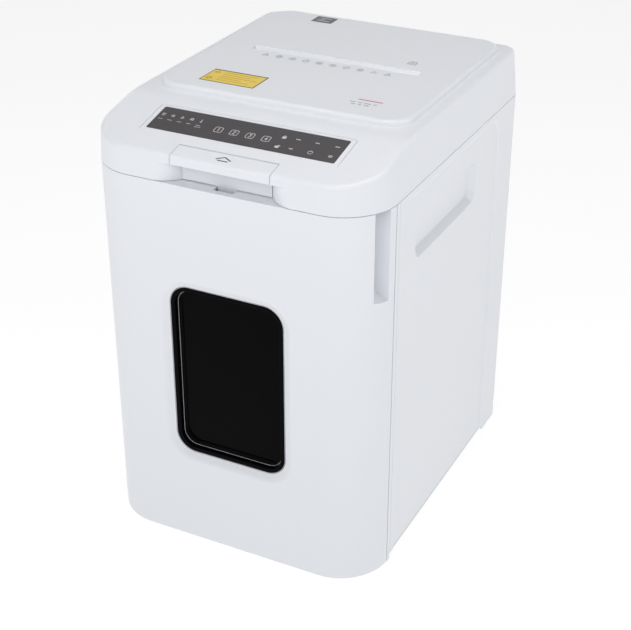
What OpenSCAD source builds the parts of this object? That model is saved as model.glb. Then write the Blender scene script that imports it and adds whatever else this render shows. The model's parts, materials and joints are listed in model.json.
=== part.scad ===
// Office paper shredder: a lift-up feeder lid over a cross-cut block, and a pull-out waste drawer.
// X runs to the right seen from the front, Y to the back, Z up. It stands on Z = 0, centred in X and Y.

/* [Overall size] */
// Width of the cabinet
body_w = 365; // [356:1:440]
// Depth from the front face to the back
body_d = 455; // [450:1:550]
// Height of the parting line under the lid
seam_h = 485; // [480:1:585]
// Rise of the lid from the parting line to its flat top
lid_h = 56.5; // [54:0.5:68]
// Height of the raised plate on the lid
plate_t = 7; // [5:0.5:9]
/* [Shells] */
// Radius of the upright front corners
front_r = 65; // [55:1:78]
// Radius of the upright back corners
rear_r = 28; // [22:1:34]
// Wall of the lid and the drawer front
wall = 3; // [2.4:0.1:3.6]
// Wall of the side panels
side_wall = 4.5; // [4:0.1:5.5]
// Depth of the shallow recess in each side
recess_t = 2; // [1:0.1:2.4]
// How far the lid sides lean in at the top
lean = 7; // [3:0.5:9]
// Gap between the lid and what is under it
parting = 1; // [0.6:0.1:1.2]
// Height of the rubber feet
foot_h = 8; // [6:0.5:12]
/* [Control slope] */
// Height lost from the flat top to the front crease
slope_drop = 23.5; // [18:0.5:28]
// Depth that the slope takes up
slope_run = 107; // [95:1:128]
// Width of the touch panel
panel_w = 233.6; // [195:0.1:240]
// Length of the touch panel along the slope
panel_l = 44.5; // [37:0.5:50]
// Margin of the thin bezel round the touch panel
bezel_m = 6.5; // [4:0.5:7]
// Width of the lift tab
tab_w = 122.6; // [100:0.2:150]
/* [Paper path] */
// Width of the feed slot and of the cut
slot_w = 222; // [216:1:226]
// Distance of the feed slot from the front face
slot_y = 279; // [272:1:284]
// Length of the sheet bay in the feed tray
sheet_l = 304; // [298:1:306]
/* [Cutter block] */
// Distance between the two cutter shafts
shaft_gap = 38; // [37:0.25:40]
// Radius of the cutter discs
disc_r = 21; // [19.5:0.1:21.5]
// Radius of the cutter shafts in their bushes
shaft_r = 7; // [5.5:0.1:8.5]
// Radial clearance of every turning fit
fit = 0.05; // [0.03:0.01:0.1]
// Diameter of the motor
motor_dia = 84; // [70:1:90]
/* [Waste drawer] */
// Width of the window
window_w = 149; // [124:1:179]
// Height of the window
window_h = 227; // [189:1:272]
// Width of the bevelled ring round the window
bevel_w = 11; // [8:0.5:12]
// Depth of the bevelled ring at the window
bevel_in = 4.5; // [3:0.5:6]
// Depth of the window pane's flat middle behind the front face
window_in = 14; // [12:0.5:16]
// Height of the waste bin
bin_h = 326; // [272:1:330]
// How far the front of the drawer wraps round the sides
wrap_y = 60; // [56:1:62]
// Travel of the drawer
drawer_travel = 360; // [300:1:380]
/* [Hidden] */
$fn = 64;
slim = 0.3;
y_front = -body_d / 2;
ledge_h = seam_h + lid_h;
crease_h = ledge_h - slope_drop;
slope_a = atan2(slope_drop, slope_run);
top_h = ledge_h + plate_t;
rear_lean = 3;
front_z = 5;
panel_z = foot_h + 4;
skirt_z = 5;
skirt_t = 2.6;
cab_y = wrap_y + 2;
rim_w = 7;
skirt_y = [cab_y + rim_w + 1, body_d - 72];
rear_half = 122.5;
rear_in = 3;
rear_y = body_d - rear_in - 3;
hinge_y = body_d - 5;
hinge_r = 5;
knuckle_x = 100;
knuckle_w = 20;
plate_m = 22.5;
plate_y = 125.5;
bay_z = seam_h - 124;
deck_z = seam_h - 29;
tray_z = deck_z + 4;
shaft_z = seam_h - 75;
front_shaft_y = slot_y - shaft_gap / 2;
rear_shaft_y = slot_y + shaft_gap / 2;
cut_half = slot_w / 2 + 1;
frame_t = 3;
roller_r = 14;
roller_out = 19;
roller_reach = 46;
roller_y = front_shaft_y - roller_out;
feed_m = 1.5;
feed_n = 16;
roller_z = shaft_z + sqrt(roller_reach * roller_reach - roller_out * roller_out);
main_m = 1.75;
main_n = 42;
small_n = 14;
red_m = 1.25;
red_n = 48;
pinion_n = 12;
sync_n = 19;
sync_m = shaft_gap / sync_n;
main_c = main_m * (main_n + small_n) / 2;
red_c = red_m * (red_n + pinion_n) / 2;
red_y = front_shaft_y - main_c;
motor_y = red_y - red_c;
plane_a = cut_half + frame_t + 2;
plane_b = plane_a + 11;
plane_c = plane_b + 12;
gear_x = plane_c + 10;
pocket_in = 12;
pocket = [120, 308, seam_h - 96, seam_h - 43];
grip = [29, 49, seam_h - 110, seam_h - 1];
grip_in = 20;
window_z = front_z + 126;
window_r = 26;
liner_y = 24;
bin_half = body_w / 2 - 32;
bin_y = [30, body_d - 25];
bin_z = foot_h + 14;
rail_z = foot_h + 4;
tab_axis = [16.5, crease_h - 2.8];
tab_r = 6.4;
scoop_half = tab_w / 2 + 27.7;
paddle_half = tab_w / 2 - 7.5;
hook_half = 12;
scoop_top = seam_h + 23;
scoop_in = tab_axis[0] + tab_r + 0.6;
scoop_r = 40;
liner_z = seam_h + 15;
post_x = 60;
post_y = slot_y - 79;
post_r = 4;
press_z = tray_z + 10;
disc_pitch = 8;
disc_t = 3.7;
disc_n = floor((slot_w - 4) / disc_pitch);
core_r = shaft_gap - disc_r - 2.5;
first_x = -disc_n * disc_pitch / 2;
comb_out = 31;
comb_t = 3;
red_turn = mesh_angle(180, 0, main_n, small_n);
feed_c = feed_m * feed_n;
feed_line = atan2(roller_z - shaft_z, roller_y - front_shaft_y);
feed_half = norm([roller_z - shaft_z, roller_y - front_shaft_y]) / 2;
idler_open = acos(feed_half / feed_c);
idler_line = feed_line + idler_open;
idler_yz = [front_shaft_y + feed_c * cos(idler_line), shaft_z + feed_c * sin(idler_line)];
roller_line = feed_line - idler_open;
feed_turn = 0;
idler_turn = mesh_angle(idler_line, feed_turn, feed_n, feed_n);
roller_turn = mesh_angle(roller_line, idler_turn, feed_n, feed_n);
rocker_half = [7, 11.8];
panel_y = 42;
half_liner = body_w / 2 - grip_in - 6;
inlet = [94, seam_h - 90];
rocker = [50, seam_h - 90];

// Stands the front face of the design at its place in Y
module place() { translate([0, y_front, 0]) children(); }

// Extrudes an outline drawn in Y and Z along X
module along_x(x0, x1) { translate([x0, 0, 0]) rotate([90, 0, 90]) linear_extrude(x1 - x0) children(); }

// Extrudes an outline drawn in X and Z along Y
module along_y(y0, y1) { translate([0, y1, 0]) rotate([90, 0, 0]) linear_extrude(y1 - y0) children(); }

// A box from its low corner to its high corner
module box(a, b) { translate(a) cube([b[0] - a[0], b[1] - a[1], b[2] - a[2]]); }

// A box mirrored to both sides
module box_pair(a, b) { for (s = [0, 1]) mirror([s, 0, 0]) box(a, b); }

// A bar along X
module rod(x0, x1, y, z, r) { translate([x0, y, z]) rotate([0, 90, 0]) cylinder(h = x1 - x0, r = r); }

// Rectangle with round corners
module soft_rect(a0, a1, b0, b1, r) {
    translate([a0 + r, b0]) square([a1 - a0 - 2 * r, b1 - b0]);
    translate([a0, b0 + r]) square([a1 - a0, b1 - b0 - 2 * r]);
    for (a = [a0 + r, a1 - r], b = [b0 + r, b1 - r]) translate([a, b]) circle(r);
}

// Floor outline of the body, set in from the sides, the front and the back
module outline(side, front, back) {
    w = body_w - 2 * side;
    rf = front_r - max(side, front);
    rr = rear_r - max(side, back);
    y1 = body_d - back;
    translate([-w / 2, front + rf]) square([w, y1 - front - rf - rr]);
    translate([-w / 2 + rf, front]) square([w - 2 * rf, rf + 1]);
    translate([-w / 2 + rr, y1 - rr - 1]) square([w - 2 * rr, rr + 1]);
    for (s = [-1, 1]) {
        translate([s * (w / 2 - rf), front + rf]) circle(rf);
        translate([s * (w / 2 - rr), y1 - rr]) circle(rr);
    }
}

// Upright block of the floor outline between two heights
module block(i, z0, z1) { translate([0, 0, z0]) linear_extrude(z1 - z0) outline(i, i, i); }

// Keeps what lies between two depths
module between(y0, y1) {
    intersection() {
        children();
        box([-body_w, y0, -1], [body_w, y1, top_h + 100]);
    }
}

// Moves pieces drawn flat onto the control slope, from its front crease
module on_slope() { translate([0, 0, crease_h]) rotate([slope_a, 0, 0]) children(); }

// Angle for the second wheel of a meshing pair, from the angle of the first and the line between them
function mesh_angle(line, turned, na, nb) = line + 180 - 180 / nb + (line - turned) * na / nb;
function involute(base, r) = let (t = sqrt(max(0, (r / base) * (r / base) - 1))) t * 180 / PI - atan(t);

// Gear outline with involute flanks and a little backlash
module gear_outline(m, n, turned) {
    pitch = m * n / 2;
    base = pitch * cos(20);
    tip = pitch + m * 0.92;
    root = pitch - m * 1.2;
    low = max(base, root);
    half = 90 / n - 0.16 / pitch * 180 / PI + involute(base, pitch);
    radii = [for (k = [0 : 5]) low + (tip - low) * k / 5];
    points = [for (i = [0 : n - 1]) let (mid = turned + i * 360 / n)
        for (p = concat([[root, -half + involute(base, low)]],
                [for (r = radii) [r, -half + involute(base, r)]],
                [for (k = [5 : -1 : 0]) [radii[k], half - involute(base, radii[k])]],
                [[root, half - involute(base, low)]]))
            [p[0] * cos(mid + p[1]), p[0] * sin(mid + p[1])]];
    polygon(points);
}

// Gear on a shaft along X, turned in the Y-Z plane
module gear(x0, w, y, z, m, n, turned, bore) {
    translate([0, y, z]) along_x(x0, x0 + w) difference() {
        gear_outline(m, n, turned);
        if (bore > 0) circle(bore);
    }
}

// Side shell with its shallow recess and its carry pocket
module side_panel() {
    half = body_w / 2;
    difference() {
        union() {
            intersection() {
                difference() {
                    block(0, panel_z, seam_h - parting);
                    block(side_wall, panel_z - 1, seam_h);
                }
                box([rear_half, cab_y, 0], [body_w, body_d + 1, top_h]);
            }
            intersection() {
                difference() {
                    block(0, skirt_z, panel_z);
                    block(skirt_t, skirt_z - 1, panel_z + 1);
                }
                union() {
                    box([rear_half, cab_y, 0], [body_w, skirt_y[0], top_h]);
                    box([rear_half, skirt_y[1], 0], [body_w, body_d + 1, top_h]);
                }
            }
            along_x(half - pocket_in - 2.5, half - side_wall)
                soft_rect(pocket[0] - 2.5, pocket[1] + 2.5, pocket[2] - 2.5, pocket[3] + 2.5, 16.5);
        }
        along_x(half - recess_t, half + 1) soft_rect(80, body_d - 74, -60, seam_h - 8, 28);
        along_x(half - pocket_in, half + 1) soft_rect(pocket[0], pocket[1], pocket[2], pocket[3], 14);
        box([half - 1, cab_y + rim_w, 0], [half + 1, cab_y + rim_w + 1, top_h]);
        rod(-body_w / 2, body_w / 2, hinge_y, seam_h, hinge_r + 1);
    }
}

module right_side_panel() { color("whitesmoke") place() side_panel(); }

module left_side_panel() { color("whitesmoke") place() mirror([1, 0, 0]) side_panel(); }

module base_tray() {
    color("gainsboro") place() between(cab_y, body_d - 3) {
        block(skirt_t + 0.2, foot_h, panel_z);
        difference() {
            block(side_wall, panel_z, panel_z + 4);
            block(side_wall + 2.5, panel_z - 1, panel_z + 5);
            box([-rear_half - 1, rear_y, panel_z - 1], [rear_half + 1, body_d, panel_z + 5]);
            box([-bin_half, 0, panel_z - 1], [bin_half, cab_y + 20, panel_z + 5]);
        }
    }
}

// Back cover, with vents and the openings for the inlet and the switch
module rear_panel() {
    color("whitesmoke") place() difference() {
        box([-rear_half, rear_y, panel_z], [rear_half, rear_y + 3, seam_h - hinge_r - 1.5]);
        for (s = [-1, 1], k = [0 : 4]) along_y(rear_y - 1, rear_y + 4)
            soft_rect(s * 55 - 42, s * 55 + 42, seam_h - 66 + 9 * k, seam_h - 62 + 9 * k, 1.9);
        box([inlet[0] - 14, rear_y - 1, inlet[1] - 10], [inlet[0] + 14, rear_y + 4, inlet[1] + 10]);
        box([rocker[0] - 10, rear_y - 1, rocker[1] - 14], [rocker[0] + 10, rear_y + 4, rocker[1] + 14]);
        rear_screw_places() rotate([90, 0, 0]) translate([0, 0, -1]) cylinder(h = 5, r = 1.7);
    }
}

module rear_screw_places() {
    for (s = [-1, 1], z = [panel_z + 18, (panel_z + bay_z) / 2, bay_z - 12])
        translate([s * (rear_half - 9), rear_y + 3, z]) children();
}

module rear_screws() {
    color("silver") place() rear_screw_places() rotate([90, 0, 0]) {
        cylinder(h = 9, r = 1.5);
        translate([0, 0, -1.8]) difference() {
            cylinder(h = 1.8, r = 3.4);
            translate([0, 0, -0.1]) cylinder(h = 1, r = 1.6, $fn = 6);
        }
    }
}

// Floor of the cutter bay, with the chute that drops the cut paper
module bay_floor() {
    color("gainsboro") place() difference() {
        between(cab_y + 4, rear_y) block(side_wall, bay_z, bay_z + 3);
        box([-cut_half + 1, slot_y - 54, bay_z - 1], [cut_half - 1, slot_y + 57, bay_z + 4]);
    }
}

// Deck that carries the cutter block and the feed tray
module deck_frame() {
    color("gray") place() difference() {
        between(cab_y + 4, rear_y) block(side_wall, deck_z, tray_z);
        box([-cut_half - frame_t - 1, motor_y - 50, deck_z - 1],
            [cut_half + frame_t + 1, slot_y + 60, tray_z + 1]);
        box([-plane_a - 9, roller_y - 15, deck_z - 1], [-cut_half, roller_y + 15, tray_z + 1]);
    }
}

// Tray that holds the sheets over the rollers and the throat
module feed_tray() {
    half = slot_w / 2 + 2;
    color("dimgray") place() difference() {
        union() {
            between(cab_y + 2, body_d - 14) block(side_wall, seam_h - 7, seam_h - 4);
            box([-150, 29, seam_h - 7], [150, cab_y + 3, seam_h - 4]);
            box([-half - 3, slot_y - sheet_l / 2 - 3, tray_z],
                [half + 3, slot_y + sheet_l / 2 - 1, seam_h - 5]);
        }
        box([-half, slot_y - sheet_l / 2, tray_z + 3], [half, slot_y + sheet_l / 2 - 4, seam_h + 1]);
        box([-slot_w / 2, slot_y - 5, tray_z - 1], [slot_w / 2, slot_y + 5, tray_z + 4]);
        box_pair([34, roller_y - 16, tray_z - 1], [66, roller_y + 16, tray_z + 4]);
        box_pair([knuckle_x - 12, body_d - 16, tray_z - 1], [knuckle_x + 12, body_d, seam_h + 1]);
    }
}

module feet() {
    color("dimgray") place() for (s = [-1, 1], y = [cab_y + 38, body_d - 38])
        translate([s * (body_w / 2 - 38), y, 0]) {
            cylinder(h = foot_h, r = 11);
            cylinder(h = 3, r = 13);
        }
}

// Channel that guides the drawer
module guide_rail() {
    difference() {
        box([bin_half + 8, cab_y + 6, rail_z], [bin_half + 20, rear_y - 16, rail_z + 16]);
        box([bin_half + 7, cab_y + 5, rail_z + 5], [bin_half + 16, rear_y - 19, rail_z + 12]);
    }
}

module right_guide_rail() { color("silver") place() guide_rail(); }

module left_guide_rail() { color("silver") place() mirror([1, 0, 0]) guide_rail(); }

// Bores shared by both cutter frame plates
module frame_bores(x0, x1) {
    for (y = [front_shaft_y, rear_shaft_y]) rod(x0 - 1, x1 + 1, y, shaft_z, shaft_r + 4);
    rod(x0 - 1, x1 + 1, roller_y, roller_z, post_r + fit);
}

module left_frame_plate() {
    x1 = -cut_half;
    color("silver") place() difference() {
        box([x1 - frame_t, slot_y - 60, bay_z + 3], [x1, slot_y + 58, tray_z]);
        frame_bores(x1 - frame_t, x1);
        rod(x1 - frame_t - 1, x1 + 1, idler_yz[0], idler_yz[1], post_r + fit);
    }
}

module right_frame_plate() {
    x0 = cut_half;
    color("silver") place() difference() {
        box([x0, motor_y - 47, bay_z + 3], [x0 + frame_t, slot_y + 58, tray_z]);
        frame_bores(x0, x0 + frame_t);
        rod(x0 - 1, x0 + frame_t + 1, red_y, shaft_z, post_r + fit);
        rod(x0 - 1, x0 + frame_t + 1, motor_y, shaft_z, 9);
    }
}

// Outer plate that steadies the gear train
module gear_plate() {
    color("silver") place() {
        difference() {
            box([gear_x, motor_y - 16, shaft_z - 24], [gear_x + 3, front_shaft_y + 30, shaft_z + 24]);
            rod(gear_x - 1, gear_x + 4, red_y, shaft_z, post_r + fit);
            rod(gear_x - 1, gear_x + 4, motor_y, shaft_z, post_r + fit);
            rod(gear_x - 1, gear_x + 4, front_shaft_y, shaft_z, shaft_r + fit);
        }
        for (s = [-1, 1]) rod(cut_half + frame_t, gear_x, motor_y - 11, shaft_z + s * 18, 3);
    }
}

module tie_bars() {
    color("silver") place() {
        for (p = [[-50, -40], [50, -40], [44, 36]])
            rod(-cut_half, cut_half, slot_y + p[0], shaft_z + p[1], 5);
    }
}

module cutter_bushes() {
    color("goldenrod") place() for (x = [-cut_half - frame_t, cut_half], y = [front_shaft_y, rear_shaft_y])
        translate([x, y, shaft_z]) rotate([0, 90, 0]) difference() {
            cylinder(h = frame_t, r = shaft_r + 4);
            translate([0, 0, -1]) cylinder(h = frame_t + 2, r = shaft_r + fit);
        }
}

// One toothed cutting disc, drawn as a flat outline
module disc_outline() {
    difference() {
        circle(disc_r);
        for (k = [0 : 5]) rotate(60 * k) translate([disc_r - 2.2, 0]) polygon([[0, 0], [4, 0], [4, 5]]);
    }
}

// Shaft with its cutting discs, shifted half a pitch on the second shaft
module cutter(y, shift, x0, x1) {
    rod(x0, x1, y, shaft_z, shaft_r);
    rod(-cut_half + 1, cut_half - 1, y, shaft_z, core_r);
    for (k = [0 : disc_n - 1]) translate([0, y, shaft_z])
        along_x(first_x + shift + k * disc_pitch, first_x + shift + k * disc_pitch + disc_t)
            rotate(7 * k) disc_outline();
}

module front_cutter() {
    color("silver") place() {
        cutter(front_shaft_y, 0, -plane_a - 12, gear_x + 3);
        gear(plane_a, 9, front_shaft_y, shaft_z, sync_m, sync_n, 0, 0);
        gear(-plane_a - 8, 8, front_shaft_y, shaft_z, feed_m, feed_n, feed_turn, 0);
    }
}

module rear_cutter() {
    color("silver") place() {
        cutter(rear_shaft_y, disc_pitch / 2, -plane_a + 1, plane_a + 9);
        gear(plane_a, 9, rear_shaft_y, shaft_z, sync_m, sync_n, mesh_angle(0, 0, sync_n, sync_n), 0);
    }
}

// Comb whose fingers keep the discs clear
module stripper(y, side, shift) {
    comb_y = y + side * comb_out;
    box([-cut_half, comb_y - comb_t, shaft_z - 34], [cut_half, comb_y + comb_t, shaft_z - 24]);
    for (k = [0 : disc_n - 2]) {
        x = first_x + shift + k * disc_pitch + disc_t + slim;
        along_x(x, x + disc_pitch - disc_t - 2 * slim) polygon([[comb_y, shaft_z - 33],
            [comb_y, shaft_z - 25], [y + side * (core_r + 1), shaft_z - 4],
            [y + side * (core_r + 1), shaft_z - 10]]);
    }
}

module front_stripper() { color("dimgray") place() stripper(front_shaft_y, -1, 0); }

module rear_stripper() { color("dimgray") place() stripper(rear_shaft_y, 1, disc_pitch / 2); }

// Funnel between the tray and the nip
module throat_guide() {
    color("silver") place() for (s = [-1, 1]) along_x(-cut_half + 0.5, cut_half - 0.5)
        polygon([[slot_y + s * 5.2, tray_z], [slot_y + s * 6.8, tray_z], [slot_y + s * 5.6, shaft_z + 24],
            [slot_y + s * 4, shaft_z + 24]]);
}

module motor_body() {
    color("dimgray") place() difference() {
        union() {
            rod(-12, cut_half - 8, motor_y, shaft_z, motor_dia / 2);
            rod(cut_half - 8, cut_half, motor_y, shaft_z, 20);
        }
        rod(cut_half - 60, cut_half + 1, motor_y, shaft_z, 5 + fit);
    }
}

module motor_rotor() {
    color("silver") place() {
        rod(cut_half - 58, gear_x - 0.6, motor_y, shaft_z, 5);
        rod(gear_x - 0.6, gear_x + 3, motor_y, shaft_z, post_r);
        gear(plane_c, 8, motor_y, shaft_z, red_m, pinion_n, mesh_angle(180, red_turn, red_n, pinion_n), 0);
    }
}

module main_gear() {
    color("silver") place() gear(plane_b, 10, front_shaft_y, shaft_z, main_m, main_n, 0, shaft_r);
}

module reduction_gear() {
    color("silver") place() {
        gear(plane_c, 8, red_y, shaft_z, red_m, red_n, red_turn, 0);
        gear(plane_b, 12, red_y, shaft_z, main_m, small_n, red_turn, 0);
        rod(cut_half, gear_x + 3, red_y, shaft_z, post_r);
    }
}

// The idler stands where its pitch circle touches both feed gears
module idler_gear() {
    color("ivory") place() {
        gear(-plane_a - 8, 8, idler_yz[0], idler_yz[1], feed_m, feed_n, idler_turn, 0);
        rod(-plane_a, -cut_half, idler_yz[0], idler_yz[1], post_r);
    }
}

module feed_gear() {
    color("ivory") place() gear(-plane_a - 8, 8, roller_y, roller_z, feed_m, feed_n, roller_turn, post_r);
}

module pickup_shaft() {
    color("silver") place() rod(-plane_a - 9, cut_half + frame_t + 1, roller_y, roller_z, post_r);
}

module pickup_tyres() {
    color("dimgray") place() for (x = [-50, 50]) translate([x - 12, roller_y, roller_z]) rotate([0, 90, 0])
        difference() {
            cylinder(h = 24, r = roller_r);
            translate([0, 0, -1]) cylinder(h = 26, r = post_r);
        }
}

module control_board() {
    color("seagreen") place() {
        box([-130, slot_y + 75, bay_z + 9], [-20, slot_y + 145, bay_z + 10.6]);
        for (x = [-125, -25], y = [slot_y + 80, slot_y + 140])
            translate([x, y, bay_z + 3]) cylinder(h = 6, r = 3);
        box([-110, slot_y + 90, bay_z + 10.6], [-80, slot_y + 125, bay_z + 34]);
        for (x = [-62, -44]) translate([x, slot_y + 105, bay_z + 10.6]) cylinder(h = 24, r = 7);
    }
}

module mains_inlet() {
    color("dimgray") place() difference() {
        union() {
            box([inlet[0] - 14, rear_y - 18, inlet[1] - 10], [inlet[0] + 14, rear_y + 3, inlet[1] + 10]);
            box([inlet[0] - 20, rear_y + 3, inlet[1] - 13], [inlet[0] + 20, rear_y + 5, inlet[1] + 13]);
        }
        along_y(rear_y - 15, rear_y + 6) translate(inlet)
            polygon([[-12, -8], [12, -8], [12, 4], [8, 8], [-8, 8], [-12, 4]]);
        inlet_pin_boxes();
    }
}

module inlet_pin_boxes() {
    for (p = [[-7, -2], [0, 3], [7, -2]]) box([inlet[0] + p[0] - 1, rear_y - 17, inlet[1] + p[1] - 2],
        [inlet[0] + p[0] + 1, rear_y - 1, inlet[1] + p[1] + 2]);
}

module inlet_pins() { color("gold") place() inlet_pin_boxes(); }

module switch_housing() {
    color("dimgray") place() difference() {
        union() {
            box([rocker[0] - 10, rear_y - 18, rocker[1] - 14], [rocker[0] + 10, rear_y + 3, rocker[1] + 14]);
            box([rocker[0] - 12, rear_y + 3, rocker[1] - 16], [rocker[0] + 12, rear_y + 4.2, rocker[1] + 16]);
        }
        box([rocker[0] - rocker_half[0], rear_y - 9, rocker[1] - rocker_half[1]],
            [rocker[0] + rocker_half[0], rear_y + 6, rocker[1] + rocker_half[1]]);
        rod(rocker[0] - 9, rocker[0] + 9, rear_y - 2, rocker[1], 1.5 + fit);
    }
}

// Rocker of the mains switch, at rest with its upper half pressed in
module power_rocker() {
    color("black") place() translate([rocker[0], rear_y - 2, rocker[1]]) rotate([7, 0, 0]) {
        along_x(-rocker_half[0] + slim, rocker_half[0] - slim)
            polygon([[-3, -8.6], [4.5, -10.5], [3.4, 0], [4.5, 10.5], [-3, 8.6]]);
        rod(-8.8, 8.8, 0, 0, 1.5);
    }
}

module lid_switch() {
    color("dimgray") place() box([120, cab_y + 20, seam_h - 19], [140, cab_y + 30, seam_h - 7]);
}

module latch_keeper() {
    color("silver") place() {
        box([-18, 25, seam_h - 7.5], [18, 29, seam_h - 4]);
        box([-24, 25, seam_h - 4], [24, 44, seam_h - 2.5]);
    }
}

// Fixed knuckles of the lid hinge
module hinge_brackets() {
    color("silver") place() for (s = [-1, 1]) difference() {
        union() {
            rod(s * knuckle_x - knuckle_w / 2, s * knuckle_x + knuckle_w / 2, hinge_y, seam_h, hinge_r);
            box([s * knuckle_x - knuckle_w / 2, rear_y - 7, tray_z],
                [s * knuckle_x + knuckle_w / 2, rear_y, seam_h]);
        }
        rod(s * knuckle_x - knuckle_w, s * knuckle_x + knuckle_w, hinge_y, seam_h, 1.5 + fit);
    }
}

module hinge_pins() {
    color("gray") place() for (s = [-1, 1])
        rod(s * knuckle_x - knuckle_w, s * knuckle_x + knuckle_w, hinge_y, seam_h, 1.5);
}

module rating_plate() {
    color("silver") place() box([-90, rear_y + 3, bay_z - 60], [-20, rear_y + 3.4, bay_z - 15]);
}

// Solid form of the lid, shrunk all round by the wall for its inside
module lid_form(t, z0) {
    intersection() {
        hull() {
            translate([0, 0, z0]) linear_extrude(0.02) outline(t, t, t);
            translate([0, 0, ledge_h - t - 0.02]) linear_extrude(0.02) outline(lean + t, t, rear_lean + t);
        }
        along_x(-body_w, body_w) polygon([[-1, z0 - 1], [body_d + 1, z0 - 1], [body_d + 1, ledge_h - t],
            [slope_run, ledge_h - t], [-1, crease_h - t - 1 * tan(slope_a)]]);
    }
}

// Finger scoop in plan: its sides curve in from the front face and run back to a straight wall
module scoop_plan(grow) {
    half = scoop_half + grow;
    translate([-half, -1]) difference() {
        square([2 * half, scoop_in + grow + 1]);
        for (x = [0, 2 * half]) translate([x, scoop_r + 1]) circle(scoop_r, $fn = 160);
    }
}

// Lid: the front band, the control slope, the flat top and the finger scoop under the tab
module lid_shell() {
    color("whitesmoke") place() difference() {
        union() {
            difference() {
                lid_form(0, seam_h);
                lid_form(wall, seam_h - 2);
            }
            between(0.2, scoop_in + wall) translate([0, 0, seam_h])
                linear_extrude(scoop_top + wall - seam_h) scoop_plan(wall);
        }
        translate([0, 0, seam_h - 1]) linear_extrude(scoop_top + 1 - seam_h) scoop_plan(0);
        box([-tab_w / 2 - 0.7, -1, scoop_top - 1], [tab_w / 2 + 0.7, scoop_in, ledge_h]);
        box([-slot_w / 2 - 3.2, slot_y - 5.7, seam_h], [slot_w / 2 + 3.2, slot_y + 5.7, top_h]);
        on_slope() translate([0, 0, -1.6]) linear_extrude(3) bezel_outline(0);
        rod(-168.2, 168.2, hinge_y, seam_h, hinge_r + 0.02);
        for (s = [-1, 1])
            box([s * knuckle_x - 11, hinge_y - 9, seam_h - 1], [s * knuckle_x + 11, body_d + 1, seam_h + 7]);
    }
}

module bezel_outline(i) {
    soft_rect(-panel_w / 2 - bezel_m + i, panel_w / 2 + bezel_m - i, panel_y - bezel_m + 0.5 + i,
        panel_y + panel_l + bezel_m - 2 - i, 4);
}

module panel_outline(i) {
    soft_rect(-panel_w / 2 + i, panel_w / 2 - i, panel_y + i, panel_y + panel_l - i, 2);
}

module panel_bezel() {
    color("whitesmoke") place() on_slope() translate([0, 0, -1.6]) linear_extrude(1.6) difference() {
        bezel_outline(0.2);
        panel_outline(-0.1);
    }
}

module touch_panel() {
    color("dimgray") place() on_slope() translate([0, 0, -1.6]) linear_extrude(1.6) panel_outline(0);
}

module panel_board() {
    color("seagreen") place() on_slope() {
        translate([-105, panel_y + 3, -9]) cube([210, 38, 1.6]);
        for (x = [-95, 95], y = [panel_y + 8, panel_y + 36]) translate([x, y, -7.4]) cylinder(h = 4, r = 3);
    }
}

// Raised plate on the flat top, with the sloping feed slot
module top_plate() {
    z1 = top_h + 1;
    color("whitesmoke") place() difference() {
        union() {
            difference() {
                translate([0, 0, ledge_h]) linear_extrude(plate_t) plate_outline(0);
                translate([0, 0, ledge_h - 1]) linear_extrude(plate_t - 2) plate_outline(3);
            }
            box([-slot_w / 2 - 3, slot_y - 5.5, ledge_h], [slot_w / 2 + 3, slot_y + 14, top_h]);
        }
        along_x(-slot_w / 2, slot_w / 2) polygon([[slot_y - 3, ledge_h - 1], [slot_y - 3, z1],
            [slot_y + 11 + 1.2, z1], [slot_y + 3, ledge_h], [slot_y + 3, ledge_h - 1]]);
        label_place(0.3) warning_outline();
        label_place(0.3) square_outline();
    }
}

module plate_outline(i) {
    soft_rect(-body_w / 2 + plate_m + i, body_w / 2 - plate_m - i, plate_y + i, body_d - 14 - i, 30 - i);
}

module label_place(t) { translate([0, 0, top_h - t]) linear_extrude(t + 1) children(); }

module warning_outline() { translate([-body_w / 2 + 70, 151]) square([72, 40]); }

module square_outline() { translate([-body_w / 2 + 87, body_d - 47]) square([29, 23]); }

module warning_label() {
    color("gold") place() translate([0, 0, top_h - 0.3]) linear_extrude(0.3) warning_outline();
}

module square_label() {
    color("gray") place() translate([0, 0, top_h - 0.3]) linear_extrude(0.3) square_outline();
}

// Inner cover of the lid, one plate in front of the slot guide and one behind it
module lid_liner() {
    color("gainsboro") place() difference() {
        between(30, body_d - 14) block(7.2, liner_z, liner_z + 2.5);
        box([-body_w, slot_y - 6, liner_z - 1], [body_w, slot_y + 6, liner_z + 4]);
        for (s = [-1, 1]) translate([s * post_x, post_y, liner_z - 1]) cylinder(h = 5, r = post_r + 0.08);
    }
}

module slot_guide() {
    color("gainsboro") place() difference() {
        box([-slot_w / 2 - 3, slot_y - 5.5, seam_h + 3], [slot_w / 2 + 3, slot_y + 5.5, ledge_h]);
        box([-slot_w / 2, slot_y - 3, seam_h + 2], [slot_w / 2, slot_y + 3, ledge_h + 1]);
    }
}

// Moving knuckle bar along the back of the lid
module lid_hinge_bar() {
    color("whitesmoke") place() difference() {
        union() {
            rod(-168, 168, hinge_y, seam_h, hinge_r);
            box([-150, hinge_y - 3, seam_h + 2], [150, body_d - 3.9, seam_h + 14]);
        }
        for (s = [-1, 1]) {
            box([s * knuckle_x - 11, hinge_y - 6, seam_h - 6], [s * knuckle_x + 11, body_d + 1, seam_h + 15]);
            rod(s * knuckle_x - knuckle_w - 1, s * knuckle_x + knuckle_w + 1, hinge_y, seam_h, 1.5 + fit);
        }
    }
}

function slope_z(y) = crease_h + y * tan(slope_a);

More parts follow.
